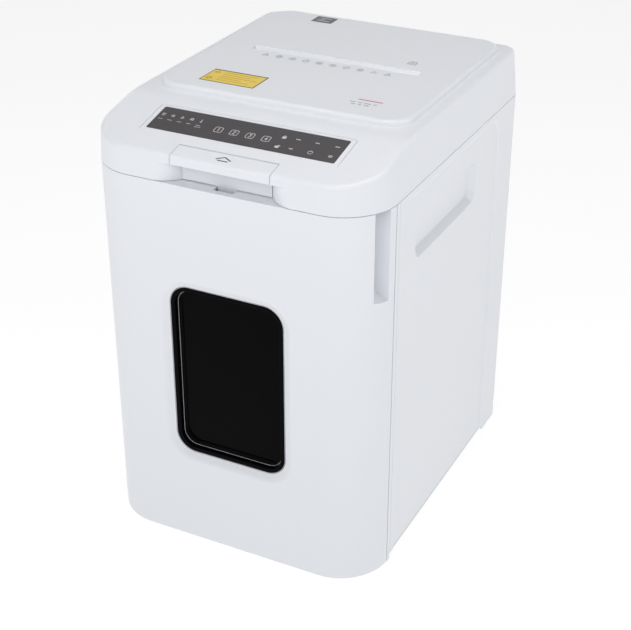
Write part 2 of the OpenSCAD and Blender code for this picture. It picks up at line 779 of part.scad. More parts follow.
// Ears that hold the pin of the lift tab
module latch_ears() {
    under = wall + 0.1;
    y0 = tab_axis[0] - 6;
    y1 = tab_axis[0] + 7;
    color("gainsboro") place() for (s = [0, 1]) mirror([s, 0, 0]) difference() {
        along_x(tab_w / 2 + 1.2, tab_w / 2 + 4.2) polygon([[y0, tab_axis[1] - 4], [y1, tab_axis[1] - 4],
            [y1, slope_z(y1) - under], [y0, slope_z(y0) - under]]);
        rod(tab_w / 2, tab_w / 2 + 6, tab_axis[0], tab_axis[1], 1.25 + fit);
    }
}

module latch_pin() {
    color("silver") place() rod(-tab_w / 2 - 4, tab_w / 2 + 4, tab_axis[0], tab_axis[1], 1.25);
}

// Round wire wound as a coil along Z
module coil(r, wire, height, turns) {
    linear_extrude(height, twist = -360 * turns, slices = 14 * turns, $fn = 8)
        translate([r, 0]) circle(wire);
}

module latch_spring() {
    color("silver") place() translate([20, tab_axis[0], tab_axis[1]])
        rotate([0, 90, 0]) coil(3.2, 0.6, 18, 6);
}

module press_springs() {
    color("silver") place() for (s = [-1, 1]) translate([s * post_x, post_y, press_z + 3.2])
        coil(post_r + 3, 0.8, liner_z - press_z - 3.4, 5);
}

// Tab that lifts the lid: a cap flush with the slope and the front, a back wall in the scoop and a hook
module lift_tab() {
    ty = tab_axis[0];
    tz = tab_axis[1];
    skin = 3.2;
    back = ty + 3;
    hook_z = seam_h - 8.2;
    color("white") place() difference() {
        union() {
            along_x(-tab_w / 2, tab_w / 2) polygon([[0, crease_h], [ty, slope_z(ty)],
                [ty, slope_z(ty) - skin], [3, slope_z(3) - skin],
                [3, scoop_top - 0.5], [0, scoop_top - 0.5]]);
            rod(-tab_w / 2, tab_w / 2, ty, tz, tab_r);
            box([-paddle_half, ty, seam_h + 0.6], [paddle_half, back, tz]);
            along_x(-hook_half, hook_half) polygon([[ty, hook_z - 4], [28.5, hook_z - 4], [28.5, hook_z - 0.4],
                [26, hook_z], [back, hook_z], [back, tz], [ty, tz]]);
        }
        rod(-tab_w, tab_w, ty, tz, 1.25 + fit);
        box([19, ty - 4.4, tz - 8], [39, ty + 8, tz + 4]);
    }
}

// Spring-loaded plate that presses the sheets onto the rollers
module pressure_plate() {
    color("dimgray") place() {
        box([-slot_w / 2 + 11, slot_y - 139, press_z], [slot_w / 2 - 11, slot_y - 17, press_z + 3]);
        for (s = [-1, 1]) translate([s * post_x, post_y, press_z]) {
            cylinder(h = liner_z - press_z + 10, r = post_r);
            translate([0, 0, liner_z - press_z + 3]) cylinder(h = 2, r = post_r + 2);
        }
    }
}

module window_outline(i) {
    soft_rect(-window_w / 2 + i, window_w / 2 - i, window_z + i, window_z + window_h - i,
        max(6, window_r - i));
}

// Front of the waste drawer: a shell that wraps both corners, with the window and two finger grips
module drawer_front() {
    top = seam_h - parting;
    half = body_w / 2;
    color("white") place() difference() {
        union() {
            between(-1, wrap_y) difference() {
                block(0, front_z, top);
                block(wall, front_z - 1, top + 1);
            }
            between(0, liner_y) {
                block(1, front_z, front_z + wall);
                block(1, top - wall, top);
            }
            along_y(0.5, bevel_in + wall) window_outline(-bevel_w - wall);
            intersection() {
                block(1, front_z, top);
                for (s = [0, 1]) mirror([s, 0, 0]) along_x(half - grip_in - 2.5, half)
                    soft_rect(grip[0] - 2.5, grip[1] + 2.5, grip[2] - 2.5, top + 30, 10);
            }
        }
        hull() {
            along_y(-0.1, 0) window_outline(-bevel_w);
            along_y(bevel_in, bevel_in + 0.1) window_outline(0);
        }
        along_y(-1, liner_y) window_outline(0);
        for (s = [0, 1]) mirror([s, 0, 0]) along_x(half - grip_in, half + 1)
            soft_rect(grip[0], grip[1], grip[2], top + 30, 8);
        box([-hook_half - 1, tab_axis[0] - 8.5, top - wall - 1], [hook_half + 1, liner_y + 1, top + 1]);
        box([-body_w, -1, top], [body_w, body_d, top + 40]);
    }
}

module front_liner() {
    color("gainsboro") place() difference() {
        box([-half_liner, liner_y, front_z + 7], [half_liner, liner_y + 3, seam_h - 16]);
        along_y(liner_y - 1, liner_y + 4) window_outline(4);
    }
}

// Dished pane: its rim fills the ring, and its flange bears on the back of the drawer front
module window_pane() {
    seat = bevel_in + wall;
    color("black") place() difference() {
        union() {
            along_y(bevel_in, seat) window_outline(0.2);
            along_y(seat, seat + 2) window_outline(-6);
            along_y(seat, window_in + 2) window_outline(6);
        }
        along_y(0, window_in) window_outline(8);
    }
}

module waste_bin() {
    color("dimgray") place() translate([0, 0, bin_z]) difference() {
        linear_extrude(bin_h) soft_rect(-bin_half, bin_half, bin_y[0], bin_y[1], 20);
        translate([0, 0, 2.5]) linear_extrude(bin_h)
            soft_rect(-bin_half + 2.5, bin_half - 2.5, bin_y[0] + 2.5, bin_y[1] - 2.5, 17.5);
    }
}

// Sliding tray under the bin, with a runner along each side
module drawer_tray() {
    color("silver") place() {
        box([-bin_half - 6, liner_y + 3, rail_z + 6], [bin_half + 6, bin_y[1], bin_z]);
        box_pair([bin_half + 5, cab_y + 8, rail_z + 5.5], [bin_half + 15, bin_y[1], rail_z + 11.5]);
    }
}

base_tray();
left_side_panel();
right_side_panel();
rear_panel();
bay_floor();
deck_frame();
feed_tray();
feet();
left_guide_rail();
right_guide_rail();
left_frame_plate();
right_frame_plate();
gear_plate();
tie_bars();
cutter_bushes();
front_stripper();
rear_stripper();
throat_guide();
motor_body();
control_board();
mains_inlet();
inlet_pins();
switch_housing();
power_rocker();
lid_switch();
latch_keeper();
hinge_brackets();
hinge_pins();
rating_plate();
rear_screws();
lid_shell();
top_plate();
panel_bezel();
touch_panel();
panel_board();
lid_liner();
slot_guide();
lid_hinge_bar();
latch_ears();
latch_pin();
latch_spring();
press_springs();
warning_label();
square_label();
lift_tab();
pressure_plate();
drawer_front();
front_liner();
window_pane();
waste_bin();
drawer_tray();
front_cutter();
rear_cutter();
main_gear();
reduction_gear();
motor_rotor();
idler_gear();
pickup_shaft();
pickup_tyres();
feed_gear();
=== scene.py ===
"""Looks of the paper shredder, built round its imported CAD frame.

Shapes are drawn in millimetres: X to the right, Y back from the front face, Z up from the floor.
solid() turns them into metres in the frame's own axes.
"""

import json
import math

import bmesh
import bpy
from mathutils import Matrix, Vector
from mathutils.geometry import tessellate_polygon


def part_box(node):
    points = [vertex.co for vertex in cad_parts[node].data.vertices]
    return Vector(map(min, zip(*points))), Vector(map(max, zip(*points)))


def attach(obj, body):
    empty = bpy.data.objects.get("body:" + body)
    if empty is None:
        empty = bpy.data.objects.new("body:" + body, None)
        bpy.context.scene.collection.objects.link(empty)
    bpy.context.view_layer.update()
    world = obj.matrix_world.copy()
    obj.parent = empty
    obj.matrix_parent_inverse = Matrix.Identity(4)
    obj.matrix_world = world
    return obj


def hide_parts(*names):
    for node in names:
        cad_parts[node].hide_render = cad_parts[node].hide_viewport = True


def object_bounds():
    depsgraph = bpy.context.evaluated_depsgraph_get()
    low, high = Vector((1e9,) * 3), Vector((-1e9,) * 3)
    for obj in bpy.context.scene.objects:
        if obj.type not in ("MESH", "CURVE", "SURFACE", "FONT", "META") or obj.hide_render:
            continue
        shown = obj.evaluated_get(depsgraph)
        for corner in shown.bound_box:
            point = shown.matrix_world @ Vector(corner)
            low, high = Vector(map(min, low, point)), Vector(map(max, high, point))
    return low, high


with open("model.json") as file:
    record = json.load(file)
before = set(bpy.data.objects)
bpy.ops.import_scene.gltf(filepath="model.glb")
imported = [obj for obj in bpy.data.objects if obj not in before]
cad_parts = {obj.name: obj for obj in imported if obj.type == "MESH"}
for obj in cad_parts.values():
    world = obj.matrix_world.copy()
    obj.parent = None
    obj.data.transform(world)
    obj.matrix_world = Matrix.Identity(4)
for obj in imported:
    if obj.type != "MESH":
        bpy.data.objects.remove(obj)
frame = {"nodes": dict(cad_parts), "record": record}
cad_low, cad_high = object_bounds()
MM = 1000.0


def box_mm(node):
    """Lowest and highest corner of a CAD node in millimetres, with Y from the front face."""
    return [(p.x * MM, (p.y - cad_low.y) * MM, p.z * MM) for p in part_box(node)]


# ---------------------------------------------------------------- sizes from the frame
lid_low, lid_high = box_mm("lid_shell")
plate_low, plate_high = box_mm("top_plate")
drawer_low, drawer_high = box_mm("drawer_front")
side_low, side_high = box_mm("right_side_panel")
pane_low, pane_high = box_mm("window_pane")
touch_low, touch_high = box_mm("touch_panel")
yellow_low, yellow_high = box_mm("warning_label")
square_low, square_high = box_mm("square_label")

HALF = lid_high[0]
DEPTH = lid_high[1]
FRONT_R = 65.0
BACK_R = 28.0
CORNER_Y = DEPTH - BACK_R

# The lid, from its lower edge (SEAM) up the leaning walls to the control slope and the flat LEDGE.
SEAM = lid_low[2]
LEDGE = lid_high[2]
LEAN = 7.0
BACK_LEAN = 3.0
WALL = 3.0
EDGE_R = 4.5
CREASE = LEDGE - 23.5
RUN = 107.0
SLOPE = math.atan2(LEDGE - CREASE, RUN)
CREASE_BLEND = 11.0
HINGE_Y = DEPTH - 5.0
KNUCKLE_X = 100.0
KNUCKLE_HALF = 11.2

# The raised plate and the feed slot through it, which narrows towards the lid.
TOP = plate_high[2]
PLATE_R = 30.0
SLOT_HALF = 111.0
SLOT_FRONT = 276.0
SLOT_BACK = 291.0
SLIT_BACK = 282.0

# The touch panel, by its distance up the slope, and its bezel.
PANEL_S = (42.0, 86.5)
BEZEL_M = 6.5
BEZEL_GAP = 0.55

# The finger scoop under the lift tab, and the tab's back wall and hook in it.
TAB_HALF = box_mm("lift_tab")[1][0]
SCOOP_HALF = TAB_HALF + 27.7
SCOOP_TOP = SEAM + 23.0
SCOOP_IN = 23.5
SCOOP_R = 40.0
SCOOP_ROUND = 6.0
TAB_WALL_Y = (16.5, 19.5)
HOOK_HALF = 12.0

# The drawer front with its window and the two finger grips behind its corners.
DRAWER_BOTTOM = drawer_low[2]
DRAWER_TOP = drawer_high[2] + 0.4
DRAWER_WALL = 2.4
CORNER_STEPS = 24
GRIP_IN = HALF - 20.0
GRIP_LOW = DRAWER_TOP - 109.0
GRIP_Y = (29.0, 49.0)
GRIP_FLOOR = 13.0
PANE_FLANGE = 6.0
WINDOW_HALF = pane_high[0] - PANE_FLANGE
WINDOW_Z = (pane_low[2] + PANE_FLANGE, pane_high[2] - PANE_FLANGE)
WINDOW_R = 26.0
BEVEL_W = 11.0
BEVEL_IN = 4.5
PANE_FLOOR_Y = 14.0

# The side panels: a rim strip at the front, a cut-away skirt, a shallow recess and the carry pocket.
SIDE_FRONT = side_low[1]
SIDE_INNER = side_low[0]
SIDE_SKIRT = side_low[2]
SIDE_LOW = 12.0
SIDE_TOP = side_high[2] + 0.5
SIDE_WALL = 3.0
RIM_W = 7.0
RECESS_Y = (80.0, DEPTH - 74.0)
RECESS_R = 28.0
RECESS_SOFT = 5.5
RECESS_DEEP = 2.0
POCKET = (120.0, 308.0, SIDE_TOP - 95.0, SIDE_TOP - 42.0)


# ---------------------------------------------------------------- mesh building
class Skin:
    """Collects the points and faces of one piece."""

    def __init__(self):
        self.points, self.faces = [], []

    def add(self, points):
        """Adds points and returns their numbers."""
        start = len(self.points)
        self.points.extend(points)
        return list(range(start, len(self.points)))

    def strip(self, a, b, closed=True):
        """Joins two rows of points, given by their numbers."""
        count = len(a)
        for i in range(count if closed else count - 1):
            j = (i + 1) % count
            self.faces.append((a[i], a[j], b[j], b[i]))

    def rows(self, rows, closed=True):
        """Joins rows of equal length and returns their point numbers."""
        numbers = [self.add(row) for row in rows]
        for a, b in zip(numbers, numbers[1:]):
            self.strip(a, b, closed)
        return numbers

    def fill(self, *loops):
        """Fills a flat outline, given as point numbers, round the holes in it."""
        flat = [i for loop in loops for i in loop]
        places = [[Vector(self.points[i]) for i in loop] for loop in loops]
        for triangle in tessellate_polygon(places):
            self.faces.append(tuple(flat[k] for k in triangle))

    def block(self, rows):
        """Closed body through rows of points, filled at both ends."""
        numbers = self.rows(rows)
        self.fill(numbers[0])
        self.fill(numbers[-1])
        return self


def mix(a, b, t):
    """Point at a share t of the way from a to b."""
    return tuple(p + (q - p) * t for p, q in zip(a, b))


def smooth(t):
    """Share that starts and ends level, for soft edges."""
    return t * t * (3 - 2 * t)


def quarter(steps):
    """Angles of a quarter turn, both ends included."""
    return [math.radians(90 * k / steps) for k in range(steps + 1)]


def fillet(radius, steps):
    """Pairs of inset and drop for an edge round: from the side face, level with its foot, to the top."""
    return [(radius * (1 - math.cos(a)), radius * (1 - math.sin(a))) for a in quarter(steps)]


def oblong(x0, x1, y0, y1):
    """Corners of a rectangle, anticlockwise."""
    return [(x0, y0), (x1, y0), (x1, y1), (x0, y1)]


def circle(y, z, r, parts):
    """Points of a circle round an axis along X."""
    turns = [math.radians(360 * k / parts) for k in range(parts)]
    return [(y + r * math.cos(a), z + r * math.sin(a)) for a in turns]


def rounded(x0, x1, y0, y1, front, back=None, arc=12, nx=1, ny=1):
    """Rectangle with round corners, anticlockwise from the front left one, with nx and ny parts to a side."""
    back = front if back is None else back
    corners = [
        (x0 + front, y0 + front, front, 180),
        (x1 - front, y0 + front, front, 270),
        (x1 - back, y1 - back, back, 0),
        (x0 + back, y1 - back, back, 90),
    ]
    turned = []
    for cx, cy, r, start in corners:
        angles = [math.radians(start + 90 * i / arc) for i in range(arc + 1)]
        turned.append([(cx + r * math.cos(a), cy + r * math.sin(a)) for a in angles])
    points = []
    for k, corner in enumerate(turned):
        points += corner
        a, b = corner[-1], turned[(k + 1) % 4][0]
        parts = (nx, ny)[k % 2]
        points += [mix(a, b, i / parts) for i in range(1, parts)]
    return points


def prism(outline, z0, z1, turn=lambda x, y, z: (x, y, z)):
    """Closed upright block of an outline, with its points passed through turn."""
    return Skin().block([[turn(x, y, z) for x, y in outline] for z in (z0, z1)])


def along_x(profile, x0, x1):
    """Closed bar of a profile in Y and Z."""
    return Skin().block([[(x, y, z) for y, z in profile] for x in (x0, x1)])


def along_y(profile, y0, y1, sign=1):
    """Closed bar of a profile in X and Z; a sign of -1 puts it on the left."""
    return Skin().block([[(sign * x, y, z) for x, z in profile] for y in (y0, y1)])


def solid(name, skin, thick=0.0):
    """Makes an object of a skin, faces outward; a thick one is an open skin that gets a wall inside."""
    mesh = bpy.data.meshes.new(name)
    mesh.from_pydata([(x / MM, y / MM + cad_low.y, z / MM) for x, y, z in skin.points], [], skin.faces)
    clean = bmesh.new()
    clean.from_mesh(mesh)
    bmesh.ops.remove_doubles(clean, verts=clean.verts, dist=1e-6)
    bmesh.ops.recalc_face_normals(clean, faces=clean.faces)
    middle = sum((v.co for v in clean.verts), Vector()) / len(clean.verts)
    outward = sum((f.calc_center_median() - middle).dot(f.normal) * f.calc_area() for f in clean.faces)
    if outward < 0:
        bmesh.ops.reverse_faces(clean, faces=clean.faces)
    clean.to_mesh(mesh)
    clean.free()
    piece = bpy.data.objects.new(name, mesh)
    bpy.context.scene.collection.objects.link(piece)
    if thick:
        wall = piece.modifiers.new("wall", "SOLIDIFY")
        wall.thickness = thick / MM
        wall.offset = -1
        wall.use_even_offset = True
        bake(piece)
    return piece


def bake(piece):
    """Applies a piece's modifiers."""
    graph = bpy.context.evaluated_depsgraph_get()
    mesh = bpy.data.meshes.new_from_object(piece.evaluated_get(graph))
    piece.modifiers.clear()
    piece.data = mesh


def tool(skin):
    """A body that only serves to cut or join another."""
    return solid("tool", skin)


def carve(piece, *tools, operation="DIFFERENCE"):
    """Cuts tools out of a piece, or joins or intersects it with them, and removes them."""
    for shape in tools:
        cut = piece.modifiers.new("cut", "BOOLEAN")
        cut.operation = operation
        cut.solver = "MANIFOLD"
        cut.object = shape
    bake(piece)
    for shape in tools:
        bpy.data.objects.remove(shape)


def bevel(piece, width, angle):
    """Adds a bevel modifier for the edges that turn by more than an angle in degrees."""
    soft = piece.modifiers.new("edge", "BEVEL")
    soft.width = width / MM
    soft.segments = 2
    soft.limit_method = "ANGLE"
    soft.angle_limit = math.radians(angle)
    return soft


def finish_piece(piece, material, body, replaces=(), sharp=32, edge=0.0):
    """Shades a piece, softens its hard edges and hangs it on its body."""
    if edge:
        bevel(piece, edge, sharp).miter_outer = "MITER_ARC"
        bake(piece)
    piece.data.polygons.foreach_set("use_smooth", [True] * len(piece.data.polygons))
    piece.data.set_sharp_from_angle(angle=math.radians(sharp + 6))
    even = piece.modifiers.new("normals", "WEIGHTED_NORMAL")
    even.keep_sharp = True
    even.weight = 80
    piece.data.materials.clear()
    piece.data.materials.append(material)
    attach(piece, body)
    if replaces:
        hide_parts(*replaces)


def on_slope(x, s, h):
    """A point at a distance up the control slope and a height over it."""
    cos, sin = math.cos(SLOPE), math.sin(SLOPE)
    return (x, s * cos - h * sin, CREASE + s * sin + h * cos)


def on_roof(x, y, h):
    """A point at a height over the raised plate."""
    return (x, y, TOP + h)


def roof(y):
    """Height of the lid's top: the slope, a soft bend and the flat ledge."""
    bend = y - RUN
    if bend >= CREASE_BLEND:
        return LEDGE
    if bend <= -CREASE_BLEND:
        return CREASE + y * math.tan(SLOPE)
    return LEDGE - math.tan(SLOPE) * (CREASE_BLEND - bend) ** 2 / (4 * CREASE_BLEND)


def hinge_rod(half, r):
    """Round bar along the lid's hinge axis, for the cuts that let the lid swing."""
    return along_x(circle(HINGE_Y, SEAM, r, 48), -half, half)


# ---------------------------------------------------------------- materials
def nodes_of(material):
    tree = material.node_tree
    return tree, tree.nodes, tree.nodes["Principled BSDF"]


def surface(name, color, rough, metal=0.0, spread=0.02, grain=900.0, bump=0.03, rough_spread=0.05, **more):
    """Procedural surface: a slight drift of colour, uneven gloss and a fine moulded or machined grain."""
    material = bpy.data.materials.new(name)
    material.use_nodes = True
    tree, nodes, shader = nodes_of(material)
    place = nodes.new("ShaderNodeTexCoord")
    place.name = "place"
    drift = nodes.new("ShaderNodeTexNoise")
    drift.inputs["Scale"].default_value = 9.0
    drift.inputs["Detail"].default_value = 3.0
    tint = nodes.new("ShaderNodeMixRGB")
    tint.inputs["Color1"].default_value = [c * (1 - spread) for c in color] + [1]
    tint.inputs["Color2"].default_value = [min(1, c * (1 + spread)) for c in color] + [1]
    fine = nodes.new("ShaderNodeTexNoise")
    fine.name = "fine"
    fine.inputs["Scale"].default_value = grain
    fine.inputs["Detail"].default_value = 4.0
    gloss = nodes.new("ShaderNodeMapRange")
    gloss.inputs["To Min"].default_value = max(0.02, rough - rough_spread)
    gloss.inputs["To Max"].default_value = rough + rough_spread
    relief = nodes.new("ShaderNodeBump")
    relief.inputs["Strength"].default_value = bump
    relief.inputs["Distance"].default_value = 0.0003
    link = tree.links.new
    link(place.outputs["Object"], drift.inputs["Vector"])
    link(place.outputs["Object"], fine.inputs["Vector"])
    link(drift.outputs["Fac"], tint.inputs["Fac"])
    link(tint.outputs["Color"], shader.inputs["Base Color"])
    link(fine.outputs["Fac"], gloss.inputs["Value"])
    link(gloss.outputs["Result"], shader.inputs["Roughness"])
    link(fine.outputs["Fac"], relief.inputs["Height"])
    link(relief.outputs["Normal"], shader.inputs["Normal"])
    shader.inputs["Metallic"].default_value = metal
    for socket, value in more.items():
        shader.inputs[socket.replace("_", " ")].default_value = value
    return material


def turned_steel(name, color, rough):
    """Metal with fine lines in one direction, as brushing or turning leaves them."""
    material = surface(name, color, rough, metal=1.0, spread=0.08, grain=220.0, bump=0.10, rough_spread=0.08)
    tree, nodes, _ = nodes_of(material)
    stretch = nodes.new("ShaderNodeMapping")
    stretch.inputs["Scale"].default_value = (1.0, 60.0, 60.0)
    tree.links.new(nodes["place"].outputs["Object"], stretch.inputs["Vector"])
    tree.links.new(stretch.outputs["Vector"], nodes["fine"].inputs["Vector"])
    return material


def circuit_green(name):
    """Green board with a grid of lighter copper tracks."""
    green = (0.02, 0.16, 0.07)
    material = surface(name, green, 0.4, bump=0.02)
    tree, nodes, shader = nodes_of(material)
    tracks = nodes.new("ShaderNodeTexBrick")
    tracks.inputs["Scale"].default_value = 160.0
    tracks.inputs["Color1"].default_value = (*green, 1)
    tracks.inputs["Color2"].default_value = (0.02, 0.13, 0.06, 1)
    tracks.inputs["Mortar"].default_value = (0.05, 0.27, 0.12, 1)
    tree.links.new(nodes["place"].outputs["Object"], tracks.inputs["Vector"])
    tree.links.new(tracks.outputs["Color"], shader.inputs["Base Color"])
    return material


WHITE = surface("white_shell", (0.79, 0.81, 0.845), 0.36, spread=0.006, bump=0.02,
                Coat_Weight=0.12, Coat_Roughness=0.25)
PALE = surface("pale_plastic", (0.58, 0.59, 0.61), 0.5, bump=0.05)
DARK = surface("dark_plastic", (0.035, 0.036, 0.04), 0.5, spread=0.06, bump=0.10)
TOUCH = surface("touch_glass", (0.080, 0.074, 0.078), 0.30, spread=0.05, bump=0.0, rough_spread=0.02,
                Specular_IOR_Level=0.3)
SMOKED = surface("smoked_window", (0.0015, 0.0015, 0.002), 0.09, spread=0.1, bump=0.0, rough_spread=0.01,
                 Specular_IOR_Level=0.035)
# Light grey and glossy: painted highlight lines on the dark pane, much lighter than the smoked plastic
# itself.
PAINTED_PANE_HIGHLIGHT = surface("pane_highlight_paint", (0.50, 0.50, 0.54), 0.10, spread=0.1, bump=0.0, rough_spread=0.02,
                      Specular_IOR_Level=1.0)
BIN = surface("bin_plastic", (0.02, 0.02, 0.023), 0.3, spread=0.05, bump=0.03)
RUBBER = surface("rubber", (0.02, 0.02, 0.02), 0.75, spread=0.1, bump=0.15)
SHEET = turned_steel("sheet_steel", (0.55, 0.56, 0.58), 0.38)
BRIGHT = turned_steel("bright_steel", (0.66, 0.66, 0.68), 0.25)
CUTTER = turned_steel("cutter_steel", (0.30, 0.30, 0.32), 0.34)
BRONZE = turned_steel("bronze", (0.55, 0.36, 0.16), 0.35)
MOTOR = surface("motor_paint", (0.05, 0.05, 0.055), 0.42, spread=0.05, bump=0.08)
BOARD = circuit_green("board_green")
NYLON = surface("nylon", (0.72, 0.69, 0.6), 0.45, bump=0.05)
YELLOW = surface("label_yellow", (0.80, 0.60, 0.10), 0.45, spread=0.03, bump=0.0)
GREY = surface("label_grey", (0.16, 0.16, 0.17), 0.5, spread=0.05, bump=0.0)
PRINT_LIGHT = surface("print_light", (0.62, 0.62, 0.63), 0.5, bump=0.0)
PRINT_DARK = surface("print_dark", (0.06, 0.06, 0.07), 0.5, bump=0.0)
PRINT_GREY = surface("print_grey", (0.30, 0.30, 0.32), 0.5, bump=0.0)
PRINT_RED = surface("print_red", (0.60, 0.10, 0.13), 0.5, bump=0.0)
PRINT_BROWN = surface("label_ink", (0.42, 0.25, 0.04), 0.5, bump=0.0)

# Finish of each material slot of the record.
FINISHES = {
    "white_shell": WHITE,
    "pale_plastic": PALE,
    "dark_plastic": DARK,
    "touch_glass": TOUCH,
    "smoked_window": SMOKED,
    "bin_plastic": BIN,
    "rubber": RUBBER,
    "sheet_steel": SHEET,
    "bright_steel": BRIGHT,
    "cutter_steel": CUTTER,
    "bronze": BRONZE,
    "motor_paint": MOTOR,
    "board_green": BOARD,
    "nylon": NYLON,
    "label_yellow": YELLOW,
    "label_grey": GREY,
}

# Width of the soft edges of the CAD nodes that are big enough to show them.
SOFT_EDGES = {
    "waste_bin": 1.0,
    "front_liner": 0.6,
    "drawer_tray": 0.8,
    "feed_tray": 0.8,
    "pressure_plate": 0.7,
    "mains_inlet": 0.5,
    "switch_housing": 0.4,
    "motor_body": 1.5,
    "base_tray": 0.8,
    "lid_liner": 0.6,
    "deck_frame": 0.5,
    "control_board": 0.2,
    "power_rocker": 0.4,
    "feet": 1.0,
}


def dress_cad_nodes():
    """Gives every CAD node its slot's finish, and soft edges where they show."""
    for part in frame["record"]["subparts"]:
        node = frame["nodes"][part["node"]]
        node.data.materials.clear()
        node.data.materials.append(FINISHES[part["material_slot"]])
        if part["node"] in SOFT_EDGES:
            weld = node.modifiers.new("weld", "WELD")
            weld.merge_threshold = 2e-6
            bevel(node, SOFT_EDGES[part["node"]], 50)


# ---------------------------------------------------------------- lid
def lid_outline(lean, inset):
    """Outline of the lid where its walls have leaned in by a share of their lean."""
    return rounded(
        -HALF + LEAN * lean + inset, HALF - LEAN * lean - inset, inset, DEPTH - BACK_LEAN * lean - inset,
        FRONT_R - LEAN * lean - inset, BACK_R - LEAN * lean - inset, arc=24, nx=16, ny=48,
    )


def plate_outline(inset, **parts):
    """Plan of the raised plate."""
    return rounded(plate_low[0] + inset, plate_high[0] - inset, plate_low[1] + inset, plate_high[1] - inset,
                   PLATE_R - inset, arc=24, **parts)


def bezel_outline(inset, front=0.0):
    """Outline of the bezel in the slope; its front side may be set in less than the others."""
    low, high = touch_low[0] - BEZEL_M, touch_high[0] + BEZEL_M
    return rounded(low + inset, high - inset, PANEL_S[0] - BEZEL_M + 0.5 + front,
                   PANEL_S[1] + BEZEL_M - 2 - inset, 3.5 - inset)


def scoop_outline(grow):
    """Plan of the finger scoop: convex sides that curve in from the front face to a straight back."""
    half, deep = SCOOP_HALF + grow, SCOOP_IN + grow
    stop = math.acos((SCOOP_R - deep) / SCOOP_R)
    side = [stop * i / 20 for i in range(21)]
    right = [(half - SCOOP_R * math.sin(a), SCOOP_R - SCOOP_R * math.cos(a)) for a in side]
    left = [(-x, y) for x, y in reversed(right)]
    return [(half, -3.0)] + right + left + [(-half, -3.0)]


def scoop_tool(grow, low, high):
    """Block of the scoop's plan whose upper edge is rounded."""
    rows = [[(x, y, low) for x, y in scoop_outline(grow)]]
    for inset, drop in fillet(SCOOP_ROUND, 6):
        rows.append([(x, y, high - drop) for x, y in scoop_outline(grow - inset)])
    return tool(Skin().block(rows))


def lid_rows():
    """Rows of the lid's outer face, from its lower edge up the walls and in to under the raised plate."""
    base, leaned, stepped = lid_outline(0, 0), lid_outline(1, 0), lid_outline(0, 1)
    count = len(base)
    edge_lift, wall_parts, top_parts, under_plate = 0.4, 4, 40, 4.0

    def place(i, lean, inset):
        """Plan of one point that has leaned in by a share of the lean and is set in by an inset."""
        x = base[i][0] + lean * (leaned[i][0] - base[i][0]) + inset * (stepped[i][0] - base[i][0])
        y = base[i][1] + lean * (leaned[i][1] - base[i][1]) + inset * (stepped[i][1] - base[i][1])
        return x, y

    rows = []
    for inset, lift in ((0.5, 0.0), (0.15, 0.1), (0.0, edge_lift)):
        rows.append([(*place(i, 0, inset), SEAM + lift) for i in range(count)])
    for k in range(1, wall_parts + 1):
        row = []
        for i in range(count):
            shoulder = roof(base[i][1]) - EDGE_R
            z = SEAM + edge_lift + (shoulder - SEAM - edge_lift) * k / wall_parts
            row.append((*place(i, (z - SEAM) / (LEDGE - SEAM), 0), z))
        rows.append(row)
    for inset, drop in fillet(EDGE_R, 7)[1:]:
        row = []
        for i in range(count):
            lean = (roof(base[i][1]) - EDGE_R - SEAM) / (LEDGE - SEAM)
            x, y = place(i, lean, inset)
            row.append((x, y, roof(y) - drop))
        rows.append(row)
    edge, target = rows[-1], plate_outline(under_plate, nx=16, ny=48)
    for k in range(1, top_parts + 1):
        flat = [mix(edge[i][:2], target[i], k / top_parts) for i in range(count)]
        rows.append([(x, y, roof(y)) for x, y in flat])
    return rows


def make_lid():
    """The lid: a thin shell with the scoop, the seat of the bezel and the rooms of the hinge."""
    skin = Skin()
    numbers = skin.rows(lid_rows())
    slot_half, slot_y = SLOT_HALF + 3.6, (SLOT_FRONT - 3.0, SLIT_BACK + 3.0)
    slot = rounded(-slot_half, slot_half, *slot_y, 0.5, arc=1)
    skin.fill(numbers[-1], skin.add([(x, y, LEDGE) for x, y in slot]))
    lid = solid("lid_cover", skin, thick=WALL)
    carve(lid, scoop_tool(WALL, SEAM, SCOOP_TOP + WALL), operation="UNION")
    notch_half = TAB_HALF + 0.75
    notch = prism(oblong(-notch_half, notch_half, -3, SCOOP_IN), SCOOP_TOP - 1, LEDGE + 5)
    seat = prism(bezel_outline(0), -2.4, 6, on_slope)
    before_front = prism(oblong(-300, 300, -60, 0), SEAM - 5, SCOOP_TOP + 6)
    carve(lid, scoop_tool(0, SEAM - 4, SCOOP_TOP), tool(notch), tool(seat), tool(before_front))
    for sign in (-1, 1):
        x = sign * KNUCKLE_X
        room = rounded(x - KNUCKLE_HALF, x + KNUCKLE_HALF, DEPTH - 16, DEPTH + 3, 0.5, arc=2)
        carve(lid, tool(prism(room, SEAM - 2, SEAM + 7)))
    carve(lid, tool(hinge_rod(HALF - 14.3, 5.1)))
    finish_piece(lid, WHITE, "lid", ["lid_shell"], edge=0.35)


